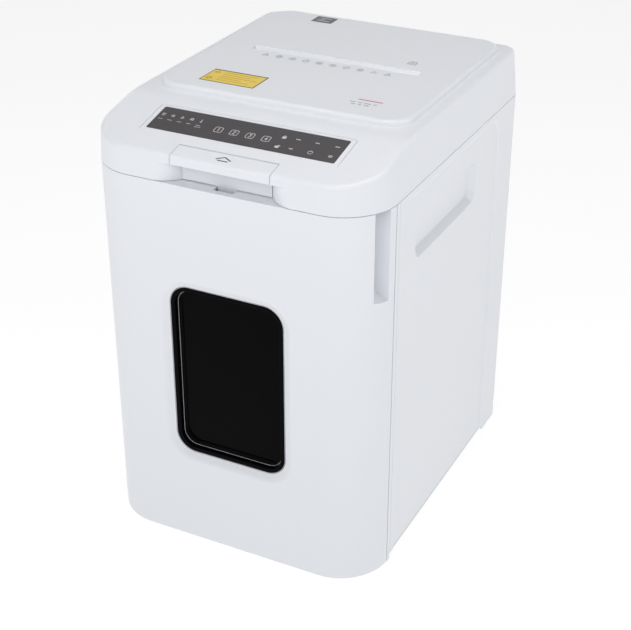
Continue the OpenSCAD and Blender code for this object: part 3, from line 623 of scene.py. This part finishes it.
def make_top_plate():
    """The raised plate: a flared foot, a round edge, and a slot whose back wall slants forward."""
    def ring(inset, z):
        return [(x, y, z) for x, y in plate_outline(inset)]

    def mouth(grow, back, z):
        half = SLOT_HALF + grow
        outline = rounded(-half, half, SLOT_FRONT - grow, back + grow, 1.2 + grow, arc=5)
        return [(x, y, z) for x, y in outline]

    edge, flare, lip = 4.6, 1.4, 1.0
    rows = [ring(-drop, LEDGE + inset) for inset, drop in fillet(flare, 3)]
    rows += [ring(0.2 + inset, TOP - drop) for inset, drop in fillet(edge, 9)]
    slot_rows = [mouth(drop, SLOT_BACK, TOP - inset) for inset, drop in fillet(lip, 3)]
    for t in (0.35, 0.7, 1.0):
        back = SLOT_BACK + (SLIT_BACK - SLOT_BACK) * t
        slot_rows.append(mouth(0.0, back, TOP - lip + (LEDGE - TOP + lip) * t))
    skin = Skin()
    outer = skin.rows(rows)
    inner = skin.rows(slot_rows)
    skin.fill(outer[-1], inner[0])
    skin.fill(outer[0], inner[-1])
    finish_piece(solid("raised_plate", skin), WHITE, "lid", ["top_plate"])


def make_bezel():
    """The bezel round the touch panel, and the thin ridge behind it."""
    skin = Skin()
    foot, gap = -2.3, 0.15
    rows = []
    for inset, h in ((0, foot), (0, -0.35), (0.12, -0.1), (0.4, 0.0)):
        rows.append([on_slope(x, s, h) for x, s in bezel_outline(BEZEL_GAP + inset, front=0.05 + inset)])
    hole = rounded(touch_low[0] - gap, touch_high[0] + gap, PANEL_S[0] - gap, PANEL_S[1] + gap, 2.2)
    outer = skin.rows(rows)
    inner = skin.rows([[on_slope(x, s, h) for x, s in hole] for h in (foot, 0.0)])
    skin.fill(outer[-1], inner[-1])
    skin.fill(outer[0], inner[0])
    finish_piece(solid("touch_bezel", skin), WHITE, "lid", ["panel_bezel"])
    left = touch_low[0] - BEZEL_M + BEZEL_GAP + 2.6
    start, width, rise = PANEL_S[1] + 2.4, 0.9, 0.35
    profile = [(0, 0), (width * 0.3, rise), (width * 0.7, rise), (width, 0)]
    ridge = Skin().block([[on_slope(x, start + s, h) for s, h in profile] for x in (left, -left)])
    finish_piece(solid("bezel_ridge", ridge), WHITE, "lid")


def make_touch_panel():
    """The dark glass, with a small round at its edge."""
    rows = []
    for inset, h in ((0, -1.6), (0, -0.2), (0.1, -0.03), (0.35, 0.05)):
        left, right = touch_low[0] + inset, touch_high[0] - inset
        outline = rounded(left, right, PANEL_S[0] + inset, PANEL_S[1] - inset, 2)
        rows.append([on_slope(x, s, h) for x, s in outline])
    finish_piece(solid("touch_screen", Skin().block(rows)), TOUCH, "lid", ["touch_panel"])


# ---------------------------------------------------------------- lift tab
def make_tab_cap():
    """The cap: a short front, a soft crease and a top in line with the slope."""
    r, skirt, shell = EDGE_R, SCOOP_TOP - 0.5, 3.2
    back_s = 22.2 / math.cos(SLOPE)
    crease_low = roof(r) - r / math.cos(SLOPE)
    crease = [(math.pi / 2 - SLOPE) * k / 8 for k in range(9)]
    profile = [(0.0, skirt + 1.0)]
    profile += [(r - r * math.cos(a), crease_low + r * math.sin(a)) for a in crease]
    for s, h in ((back_s - 0.8, 0), (back_s, -0.8), (back_s - 0.8, -shell), (6.0, -shell)):
        profile.append(on_slope(0, s, h)[1:])
    profile += [(3.0, CREASE - 6), (3.0, skirt), (1.0, skirt), (0.3, skirt + 0.3)]
    middle, soft = (11.0, CREASE - 4), 0.35
    rows = []
    for x, drawn in ((-TAB_HALF, soft), (-TAB_HALF + soft, 0.0), (TAB_HALF - soft, 0.0), (TAB_HALF, soft)):
        rows.append([(x, *mix(p, middle, drawn * 0.05)) for p in profile])
    finish_piece(solid("tab_cap", Skin().block(rows)), WHITE, "lift_tab", ["lift_tab"])


def make_tab_wall():
    """The back wall in the scoop, a little narrower behind, as the scoop is."""
    y0, y1 = TAB_WALL_Y
    low, high = SEAM + 0.4, SCOOP_TOP + 4
    front_half, rear_half = 56.0, 53.9
    rows = []
    for inset, z in ((0.5, low), (0.15, low + 0.15), (0.0, low + 0.5), (0.0, high)):
        rows.append([(-front_half + inset, y0 + inset, z), (front_half - inset, y0 + inset, z),
                     (rear_half - inset, y1 - inset, z), (-rear_half + inset, y1 - inset, z)])
    finish_piece(solid("tab_back_wall", Skin().block(rows)), WHITE, "lift_tab")


def make_tab_hook():
    """The hook that goes down behind the drawer's top edge and under the keeper."""
    y0, y1 = TAB_WALL_Y[0] + 0.4, TAB_WALL_Y[1] - 0.3
    catch, toe, tip, root = SEAM - 8.2, SEAM - 12.2, 28.4, SEAM + 4
    profile = [(y0, toe), (tip - 0.4, toe), (tip, toe + 0.6), (tip, catch - 0.4), (26.0, catch), (y1, catch),
               (y1, root), (y0, root)]
    hook = solid("tab_hook", along_x(profile, -HOOK_HALF, HOOK_HALF))
    finish_piece(hook, WHITE, "lift_tab", edge=0.4)


def make_tab_barrel():
    """The round bar that the tab rocks on, with chamfered ends."""
    axis_y, axis_z, radius, chamfer = TAB_WALL_Y[0], CREASE - 2.8, 5.2, 0.6
    end, end_r = TAB_HALF - 0.4, radius - chamfer
    rows = []
    for x, r in ((-end, end_r), (-end + chamfer, radius), (end - chamfer, radius), (end, end_r)):
        rows.append([(x, y, z) for y, z in circle(axis_y, axis_z, r, 24)])
    finish_piece(solid("tab_barrel", Skin().block(rows)), WHITE, "lift_tab")


# ---------------------------------------------------------------- drawer
def window_ring(inset, y):
    """Window outline, set in from its edge, at a depth."""
    half, low, high = WINDOW_HALF - inset, WINDOW_Z[0] + inset, WINDOW_Z[1] - inset
    outline = rounded(-half, half, low, high, max(6.0, WINDOW_R - inset), arc=14)
    return [(x, y, z) for x, z in outline]


def front_path(inset, z):
    """The drawer front's plan: from the left end round the front to the right end."""
    mid, r = HALF - FRONT_R, FRONT_R - inset
    stop = math.acos((FRONT_R - drawer_high[1]) / r)
    corner = [stop * i / CORNER_STEPS for i in range(CORNER_STEPS + 1)]
    right = [(mid + r * math.sin(a), FRONT_R - r * math.cos(a), z) for a in corner]
    return [(-x, y, z) for x, y, z in reversed(right)] + right


def grip_boss(sign):
    """Walls round a finger grip, kept inside the drawer front's outline."""
    room, inner, low, high = DRAWER_WALL, GRIP_IN - DRAWER_WALL, GRIP_LOW - 6, DRAWER_TOP - 1.4
    profile = [(HALF - 3.5, high), (inner, high), (inner, low), (HALF - 3.5, low)]
    boss = tool(along_y(profile, GRIP_Y[0] - room, GRIP_Y[1] + room, sign))
    within = Skin()
    low_row, high_row = within.rows([front_path(0.6, z) for z in (DRAWER_BOTTOM, DRAWER_TOP)], closed=False)
    within.fill(low_row)
    within.fill(high_row)
    within.faces.append((low_row[0], high_row[0], high_row[-1], low_row[-1]))
    carve(boss, tool(within), operation="INTERSECT")
    return boss


def grip_pocket(sign):
    """Room of a finger grip: open above and to the side, with a floor that curves out."""
    width = HALF + 0.5 - GRIP_IN
    profile = [(HALF + 4, DRAWER_TOP + 20), (GRIP_IN, DRAWER_TOP + 20)]
    profile += [(GRIP_IN + width * across, GRIP_LOW + GRIP_FLOOR * down) for across, down in fillet(1.0, 10)]
    profile += [(HALF + 4, GRIP_LOW - 0.5)]
    return tool(along_y(profile, *GRIP_Y, sign))


def make_drawer_front():
    """The drawer front: round corners, turned-in lower and upper edges, window, grips and hook opening."""
    low_rows = [(19.0, DRAWER_BOTTOM), (2.0, DRAWER_BOTTOM)]
    low_rows += [(drop, DRAWER_BOTTOM + inset) for inset, drop in fillet(2.0, 3)[1:]]
    high_rows = [(inset, DRAWER_TOP - drop) for inset, drop in fillet(0.6, 3)] + [(21.5, DRAWER_TOP)]
    skin = Skin()
    low = skin.rows([front_path(*row) for row in low_rows], closed=False)[-1]
    high = skin.rows([front_path(*row) for row in high_rows], closed=False)[0]
    left, right = CORNER_STEPS, CORNER_STEPS + 1
    for corner in (range(left), range(right, right + CORNER_STEPS)):
        for i in corner:
            skin.faces.append((low[i], low[i + 1], high[i + 1], high[i]))
    ring_rows = []
    for k in range(13):
        t = k / 12
        ring_rows.append(window_ring(-BEVEL_W * (1 - t), BEVEL_IN * (0.55 * smooth(t) + 0.45 * t * t)))
    ring_rows += [window_ring(0.12, BEVEL_IN + 0.25), window_ring(0.12, BEVEL_IN + 2.8)]
    rings = skin.rows(ring_rows)
    skin.fill([low[left], low[right], high[right], high[left]], rings[0])
    drawer = solid("drawer_cover", skin, thick=DRAWER_WALL)
    for sign in (1, -1):
        carve(drawer, grip_boss(sign), operation="UNION")
        carve(drawer, grip_pocket(sign))
    opening = HOOK_HALF + 0.7
    carve(drawer, tool(prism(oblong(-opening, opening, 7.8, 30), DRAWER_TOP - 6, DRAWER_TOP + 4)))
    finish_piece(drawer, WHITE, "drawer", ["drawer_front"], edge=0.5)


def make_window():
    """Smoked pane, dished behind a flat rim that fills the ring in the drawer front."""
    rim_y, seat_y = BEVEL_IN + 0.5, BEVEL_IN + 3.2
    places = [(-5.5, BEVEL_IN + 5.6), (-5.5, seat_y), (0.3, seat_y), (0.3, rim_y + 0.5), (0.5, rim_y + 0.1),
              (0.9, rim_y), (6.0, rim_y), (6.5, rim_y + 0.12), (6.9, rim_y + 0.6)]
    places += [(8.0 + inset, PANE_FLOOR_Y - drop) for inset, drop in fillet(3.0, 6)]
    skin = Skin()
    numbers = skin.rows([window_ring(*place) for place in places])
    skin.fill(numbers[-1])
    finish_piece(solid("smoked_pane", skin), SMOKED, "drawer", ["window_pane"])
    # Three thin light grey ridges: painted highlight lines along the pane's rim and dished wall.
    make_painted_highlight_line("pane_ridge", 6.6, rim_y + 2.4, 1.0)
    make_painted_highlight_line("pane_step", 7.9, PANE_FLOOR_Y - 3.6, 0.7)
    make_painted_highlight_line("pane_lip", 0.75, rim_y, 0.4)
    backing = Skin().block([window_ring(10.0, PANE_FLOOR_Y + 0.6), window_ring(10.0, PANE_FLOOR_Y + 1.8)])
    finish_piece(solid("pane_backing", backing), BIN, "drawer")


def make_painted_highlight_line(name, inset, depth, width):
    """A thin ridge round the pane, coloured light grey as a painted highlight line."""
    foot, crest = inset + 0.5, inset - 0.12
    skin = Skin()
    loops = skin.rows([window_ring(foot, depth - width / 2), window_ring(crest, depth - width / 4),
                       window_ring(crest, depth + width / 4), window_ring(foot, depth + width / 2)])
    skin.strip(loops[-1], loops[0])
    finish_piece(solid(name, skin), PAINTED_PANE_HIGHLIGHT, "drawer", sharp=60)


# ---------------------------------------------------------------- side panels
def rim_columns():
    """Lower ends of the upright lines from the hidden front edge, over the rim strip, to the flat side."""
    rim, groove = SIDE_FRONT + RIM_W, HALF - 0.7
    return [
        (HALF - 8, SIDE_FRONT, SIDE_SKIRT), (HALF - 0.9, SIDE_FRONT, SIDE_SKIRT),
        (HALF - 0.26, SIDE_FRONT + 0.26, SIDE_SKIRT), (HALF, SIDE_FRONT + 0.9, SIDE_SKIRT),
        (HALF, rim, SIDE_SKIRT), (groove, rim + 0.25, SIDE_LOW), (groove, rim + 1.0, SIDE_LOW),
        (HALF, rim + 1.3, SIDE_LOW),
    ]


def corner_columns():
    """Lower ends of the upright lines round the back corner and in along the back."""
    middle = HALF - BACK_R
    round_part = [(middle + BACK_R * math.cos(a), CORNER_Y + BACK_R * math.sin(a)) for a in quarter(14)]
    back_part = [(SIDE_INNER + 1.0, DEPTH), (SIDE_INNER + 0.3, DEPTH - 0.3), (SIDE_INNER, DEPTH - 1),
                 (SIDE_INNER, DEPTH - 6)]
    return [(x, y, SIDE_SKIRT) for x, y in round_part + back_part]


def stand(column, inset, z):
    """A point of an upright line, drawn in from the outside by an inset."""
    x, y, _ = column
    if x > HALF - 8.5 and y <= CORNER_Y:
        return (x - inset, y, z)
    if inset == 0:
        return (x, y, z)
    if x < HALF - BACK_R:
        return (x, y - inset, z)
    across, along = x - (HALF - BACK_R), y - CORNER_Y
    length = math.hypot(across, along)
    share = (length - inset) / length
    return (HALF - BACK_R + across * share, CORNER_Y + along * share, z)


def recess_line(inset, x):
    """A line along the recess's edge: up the front, over the top and down the back."""
    y0, y1, z1, r = RECESS_Y[0] + inset, RECESS_Y[1] - inset, SIDE_TOP - 7 - inset, RECESS_R - inset
    turns = quarter(12)
    path = [(x, y0, SIDE_LOW)]
    path += [(x, y0 + r - r * math.cos(a), z1 - r + r * math.sin(a)) for a in turns]
    path += [(x, y1 - r + r * math.sin(a), z1 - r + r * math.cos(a)) for a in turns]
    return path + [(x, y1, SIDE_LOW)]


def pocket_ring(inset, depth):
    """The carry pocket's outline at a depth under the recess; its top wall is nearly square to the side."""
    y0, y1, z0, z1 = POCKET
    outline = rounded(y0 + inset, y1 - inset, z0 + inset, z1 - 0.22 * inset, 15 - 0.7 * inset, arc=10)
    return [(HALF - RECESS_DEEP - depth, y, z) for y, z in outline]


def make_side(sign, name, node):
    """A side panel; a sign of -1 mirrors it to the left."""
    skin = Skin()
    top_edge = ((0.0, SIDE_TOP - 0.5), (0.15, SIDE_TOP - 0.15), (0.5, SIDE_TOP), (9.0, SIDE_TOP))
    stretches = []
    for columns in (rim_columns(), corner_columns()):
        bottom = skin.add(columns)
        rows = [skin.add([stand(column, inset, z) for column in columns]) for inset, z in top_edge]
        for a, b in zip([bottom] + rows, rows):
            skin.strip(a, b, closed=False)
        stretches.append([bottom] + rows)
    rim, corner = stretches
    rim_end, corner_start = [row[-1] for row in rim], [row[0] for row in corner]
    for k in range(1, len(top_edge)):
        skin.faces.append((rim_end[k], corner_start[k], corner_start[k + 1], rim_end[k + 1]))
    steps = [k / 10 for k in range(11)]
    lines = [recess_line(RECESS_SOFT * t, HALF - RECESS_DEEP * smooth(t)) for t in steps]
    edge = skin.rows(lines, closed=False)
    cut_away = skin.add([(HALF, DEPTH - 70, SIDE_LOW), (HALF, DEPTH - 68, SIDE_SKIRT)])
    skin.fill([rim_end[0], *edge[0], *cut_away, corner_start[0], corner_start[1], rim_end[1]])
    mouth_round = ((0.0, 0.0), (0.5, 0.08), (1.1, 0.35), (1.8, 0.95))
    floor_round = ((7.6, 7.2), (8.3, 7.8), (9.1, 8.15), (10.0, 8.25))
    rings = skin.rows([pocket_ring(*step) for step in mouth_round + floor_round])
    skin.fill(edge[-1], rings[0])
    skin.fill(rings[-1])
    skin.points = [(sign * x, y, z) for x, y, z in skin.points]
    panel = solid(name, skin, thick=SIDE_WALL)
    carve(panel, tool(hinge_rod(HALF + 3, 6.0)))
    finish_piece(panel, WHITE, "cabinet", [node])


# ---------------------------------------------------------------- printed marks
def bar(x, y, w, h):
    """A filled rectangle about its middle, as a list of one shape."""
    return [oblong(x - w / 2, x + w / 2, y - h / 2, y + h / 2)]


def stroke(points, width, closed=False):
    """A line of a width along points, one quad for each stretch."""
    quads = []
    ends = points[1:] + points[:1] if closed else points[1:]
    for (x0, y0), (x1, y1) in zip(points, ends):
        length = math.hypot(x1 - x0, y1 - y0) or 1.0
        tx, ty = (x1 - x0) / length * width / 2, (y1 - y0) / length * width / 2
        quads.append([(x0 - tx + ty, y0 - ty - tx), (x1 + tx + ty, y1 + ty - tx),
                      (x1 + tx - ty, y1 + ty + tx), (x0 - tx - ty, y0 - ty + tx)])
    return quads


def circle_line(x, y, r, width, start=0, stop=360, parts=18):
    angles = [math.radians(start + (stop - start) * i / parts) for i in range(parts + 1)]
    return stroke([(x + r * math.cos(a), y + r * math.sin(a)) for a in angles], width)


def key_frame(x, y, size, width):
    points = rounded(x - size / 2, x + size / 2, y - size / 2, y + size / 2, size * 0.22, arc=3)
    return stroke(points, width, closed=True)


# Each digit as one line, from -1 to 1 in height.
DIGITS = {
    1: [(-0.25, 0.6), (0.1, 1.0), (0.1, -1.0)],
    2: [(-0.5, 0.6), (-0.2, 1.0), (0.3, 1.0), (0.5, 0.5), (-0.5, -1.0), (0.55, -1.0)],
    3: [(-0.5, 1.0), (0.5, 1.0), (0.0, 0.15), (0.5, -0.3), (0.3, -0.9), (-0.2, -1.0), (-0.5, -0.7)],
    4: [(0.3, -1.0), (0.3, 1.0), (-0.55, -0.35), (0.6, -0.35)],
}


def digit(n, x, y, size, width):
    return stroke([(x + px * size, y + py * size) for px, py in DIGITS[n]], width)


def padlock(x, y, size, opened):
    """A padlock: a body and a shackle, which is off to one side when it is open."""
    shift = size * 0.35 if opened else 0
    shackle = circle_line(x + shift, y + size * 0.15, size * 0.38, size * 0.2, 0, 180, 8)
    return bar(x, y - size * 0.3, size * 1.2, size * 0.9) + shackle


def bin_icon(x, y):
    sides = [(x - 1.4, y + 0.8), (x - 1, y - 2.2), (x + 1, y - 2.2), (x + 1.4, y + 0.8)]
    return stroke([(x - 1.8, y + 1.6), (x + 1.8, y + 1.6)], 0.8) + stroke(sides, 0.7)


def jam_icon(x, y):
    return circle_line(x, y, 1.8, 0.7) + bar(x, y, 1.2, 1.2)


def heat_icon(x, y):
    return circle_line(x, y - 0.6, 1.5, 0.9) + [[(x - 1.1, y), (x + 1.1, y), (x, y + 3.0)]]


def tray_icon(x, y):
    sides = [(x - 2, y - 1.5), (x + 2, y - 1.5), (x + 1.4, y + 1.7), (x - 1.4, y + 1.7)]
    return stroke(sides, 0.7, closed=True) + bar(x, y, 1.6, 0.8)


def oil_icon(x, y):
    return stroke([(x, y + 2.4), (x, y - 1.2)], 1.0) + circle_line(x, y - 1.8, 0.9, 0.8)


def triangle_icon(x, y):
    return stroke([(x - 4, y - 3), (x + 4, y - 3), (x, y + 4)], 0.7, closed=True) + bar(x, y, 0.8, 2.6)


def sheets_icon(x, y):
    lines = stroke([(x - 4, y - 2), (x + 4, y - 2)], 0.7) + stroke([(x - 2, y + 1), (x + 2, y + 1)], 0.7)
    return lines + bar(x, y + 3, 1.6, 0.8)


def slash_icon(x, y):
    return circle_line(x, y, 3.9, 0.65) + stroke([(x - 1.8, y - 1.8), (x + 1.8, y + 1.8)], 0.7)


def box_icon(x, y):
    sides = [(x - 1.5, y - 1.5), (x + 1.5, y - 1.5), (x + 1.5, y + 1.5), (x - 1.5, y + 1.5)]
    return circle_line(x, y, 3.9, 0.65) + stroke(sides, 0.6, closed=True)


def cross_icon(x, y):
    arms = stroke([(x, y - 2.0), (x, y + 2.0)], 0.7) + stroke([(x - 1.6, y), (x + 1.6, y)], 0.7)
    return circle_line(x, y, 3.9, 0.65) + arms


def print_marks(name, shapes, material, place, body="lid"):
    """Raises flat shapes by the thickness of a print, from just under the surface."""
    skin = Skin()
    for shape in shapes:
        skin.block([[place(x, y, h) for x, y in shape] for h in (-0.02, 0.12)])
    finish_piece(solid(name, skin), material, body)


def make_panel_marks():
    """Five status symbols, four numbered keys, and the two columns of key marks to their right."""
    low_row, key_row, high_row = 53.0, 62.0, 71.5
    status_x, status_step = -110.3, 12.3
    key_x, key_step = -34.2, 19.9
    shapes = []
    for k, icon in enumerate((bin_icon, jam_icon, heat_icon, tray_icon, oil_icon)):
        x = status_x + status_step * k
        shapes += icon(x, high_row) + bar(x + 0.3, high_row - 9.0, 5.6, 0.65)
    last_x = status_x + status_step * 4
    shapes += bar(last_x + 1.2, high_row - 12.2, 8.0, 0.65)
    for k in range(4):
        x = key_x + key_step * k
        shapes += key_frame(x, key_row, 9.5, 0.75) + digit(k + 1, x, key_row, 2.5, 0.75)
    lock_x, dash_x, far_x, edge_x = 43.6, 60.4, 83.5, 107.5
    shapes += padlock(lock_x, high_row, 4.0, False) + bar(dash_x, high_row, 5.4, 1.3)
    shapes += padlock(lock_x, low_row, 4.0, True) + bar(dash_x, low_row, 4.6, 1.3)
    shapes += bar(far_x, high_row, 5.0, 1.3) + bar(edge_x, high_row, 5.4, 1.3)
    shapes += circle_line(far_x, low_row, 2.7, 0.8, 120, 420) + bar(far_x, low_row + 2.4, 0.8, 2.6)
    shapes += bar(edge_x, low_row + 1.1, 4.6, 1.1) + bar(edge_x, low_row - 1.1, 4.6, 1.1)
    print_marks("panel_marks", shapes, PRINT_LIGHT, lambda x, s, h: on_slope(x, s, h + 0.05))


def make_roof_marks():
    """A row of small symbols in front of the slot, and plain bars in place of the marks on the roof."""
    ringed = (box_icon, cross_icon, slash_icon)
    icons = [triangle_icon, *(ringed[k % 3] for k in range(7)), sheets_icon, triangle_icon]
    row_x, row_step, row_y = -83.5, 18.1, SLOT_FRONT - 12.5
    shapes = []
    for k, icon in enumerate(icons):
        shapes += icon(row_x + row_step * k, row_y)
    sheet_x, sheet_y = 89.5, 313.0
    shapes += stroke(oblong(sheet_x - 5, sheet_x + 5, sheet_y - 4, sheet_y + 3), 0.9, closed=True)
    shapes += bar(sheet_x, sheet_y - 0.5, 5.5, 1.2) + bar(sheet_x, sheet_y + 5.8, 8.5, 1.3)
    print_marks("roof_symbols", shapes, PRINT_GREY, on_roof)
    mark_x, mark_y = 94.0, 166.0
    print_marks("roof_red_rule", bar(mark_x + 4, mark_y + 8.5, 30, 2.0), PRINT_RED, on_roof)
    dashes = []
    for k, width in enumerate((7, 5, 8, 4)):
        dashes += bar(mark_x - 14 + 9.2 * k, mark_y - 1, width, 1.5)
    for k, width in enumerate((5, 4, 6)):
        dashes += bar(mark_x - 11 + 8.2 * k, mark_y - 7, width, 1.5)
    print_marks("roof_grey_dashes", dashes, PRINT_GREY, on_roof)


def make_film(name, outline, low, high, material, replaces=()):
    """A thin label on the raised plate."""
    finish_piece(solid(name, prism(outline, low, high, on_roof)), material, "lid", replaces)


def make_warning_label():
    """A yellow field in a dark border, with a triangle, a ring and five rows of plain bars."""
    x0, y0, x1, y1 = *yellow_low[:2], *yellow_high[:2]
    border = rounded(x0, x1, y0, y1, 0.8, arc=4)
    field = rounded(x0 + 1.3, x1 - 1.3, y0 + 1.3, y1 - 2.6, 0.6, arc=4)
    make_film("warning_border", border, -0.05, 0.14, PRINT_DARK, ["warning_label"])
    make_film("warning_field", field, 0.10, 0.24, YELLOW)
    shapes = stroke([(x0 + 5, y1 - 11), (x0 + 12, y1 - 11), (x0 + 8.5, y1 - 5)], 0.8, closed=True)
    shapes += circle_line(x0 + 8.5, y0 + 9.5, 3.0, 0.9)
    bar_start, bar_step = 18, 6.0
    for k, bar_end in enumerate((62, 55, 66, 48, 60)):
        shapes += bar(x0 + (bar_start + bar_end) / 2, y1 - 8 - bar_step * k, bar_end - bar_start, 0.8)
    print_marks("warning_bars", shapes, PRINT_BROWN, lambda x, y, h: on_roof(x, y, h + 0.22))


def make_square_label():
    """A small grey label with three plain bars."""
    x0, y0, x1, y1 = *square_low[:2], *square_high[:2]
    middle_x, middle_y, width = (x0 + x1) / 2, (y0 + y1) / 2, x1 - x0
    film = rounded(x0, x1, y0, y1, 1.0, arc=4)
    make_film("square_film", film, -0.05, 0.14, GREY, ["square_label"])
    shapes = bar(middle_x, y1 - 6, width * 0.55, 1.6) + bar(middle_x, y0 + 6.5, width * 0.6, 1.6)
    shapes += bar(middle_x - 4, middle_y, width * 0.35, 1.2)
    print_marks("square_bars", shapes, PALE, lambda x, y, h: on_roof(x, y, h + 0.12))


def make_tab_mark():
    """A chevron over a bar: the way to lift."""
    s = 12.6
    shapes = stroke([(-8.5, s - 1.2), (0, s + 3.4), (8.5, s - 1.2)], 1.5) + bar(0, s - 3.6, 13.0, 1.5)
    print_marks("lift_chevron", shapes, PRINT_DARK, on_slope, body="lift_tab")


# ---------------------------------------------------------------- stage
# Each lamp's name, place in metres, size and power.
LAMPS = (
    ("key", (0.9, -1.5, 1.5), 0.8, 4.2),
    ("left", (-1.0, -1.4, 1.3), 0.8, 4.4),
    ("right", (1.5, -0.1, 1.4), 0.8, 5.4),
    ("top", (0.0, 0.2, 2.0), 0.8, 9.0),
    ("front", (0.1, -1.1, 1.2), 0.6, 2.4),
)
LAMP_AIM = (0.0, -0.1, 0.45)


def make_floor():
    """A pale floor that reaches far enough to have no edge in any view, and glows a little."""
    far, sink = 60000, -0.5
    skin = Skin()
    skin.faces.append(tuple(skin.add([(x, y, sink) for x, y in oblong(-far, far, -far, far)])))
    floor = solid("floor", skin)
    pale = surface("floor_paint", (0.30, 0.30, 0.305), 0.9, spread=0.002, bump=0.0, Specular_IOR_Level=0.0,
                   Emission_Color=(1, 1, 1, 1), Emission_Strength=0.80)
    floor.data.materials.append(pale)


def make_sky():
    """Soft studio light from all round: white at the horizon, greyer overhead."""
    world = bpy.data.worlds.new("studio")
    world.use_nodes = True
    tree = world.node_tree
    sky = tree.nodes["Background"]
    sky.inputs["Color"].default_value = (0.97, 0.98, 1.0, 1)
    where = tree.nodes.new("ShaderNodeTexCoord")
    parts = tree.nodes.new("ShaderNodeSeparateXYZ")
    fade = tree.nodes.new("ShaderNodeMapRange")
    fade.interpolation_type = "SMOOTHSTEP"
    horizon, zenith = (0.0, 0.97), (0.36, 0.28)
    fade.inputs["From Min"].default_value, fade.inputs["To Min"].default_value = horizon
    fade.inputs["From Max"].default_value, fade.inputs["To Max"].default_value = zenith
    tree.links.new(where.outputs["Generated"], parts.inputs["Vector"])
    tree.links.new(parts.outputs["Z"], fade.inputs["Value"])
    tree.links.new(fade.outputs["Result"], sky.inputs["Strength"])
    bpy.context.scene.world = world


def make_lamp(name, place, size, power):
    light = bpy.data.lights.new(name, "AREA")
    light.size = size
    light.energy = power
    light.color = (1.0, 0.99, 0.985)
    holder = bpy.data.objects.new(name, light)
    holder.location = place
    holder.rotation_euler = (Vector(LAMP_AIM) - Vector(place)).to_track_quat("-Z", "Y").to_euler()
    bpy.context.scene.collection.objects.link(holder)


def make_camera():
    """The camera: in front, to the right of and above the object, looking down at its middle."""
    pitch, yaw = math.radians(29.15), math.radians(26.61)
    camera = bpy.data.cameras.new("camera")
    camera.sensor_width = 36.0
    camera.lens = 80.73
    camera.clip_end = 200
    holder = bpy.data.objects.new("camera", camera)
    holder.location = (0.7165, cad_low.y - 1.199, 1.113)
    holder.rotation_euler = (math.radians(90) - pitch, 0, yaw)
    bpy.context.scene.collection.objects.link(holder)
    bpy.context.scene.camera = holder


view = bpy.context.scene.view_settings
view.view_transform = "Standard"
view.exposure = 0.0
make_camera()
make_floor()
make_sky()
for lamp in LAMPS:
    make_lamp(*lamp)

dress_cad_nodes()
make_lid()
make_top_plate()
make_bezel()
make_touch_panel()
make_tab_cap()
make_tab_wall()
make_tab_hook()
make_tab_barrel()
make_drawer_front()
make_window()
make_side(1, "right_cover", "right_side_panel")
make_side(-1, "left_cover", "left_side_panel")
make_panel_marks()
make_roof_marks()
make_warning_label()
make_square_label()
make_tab_mark()
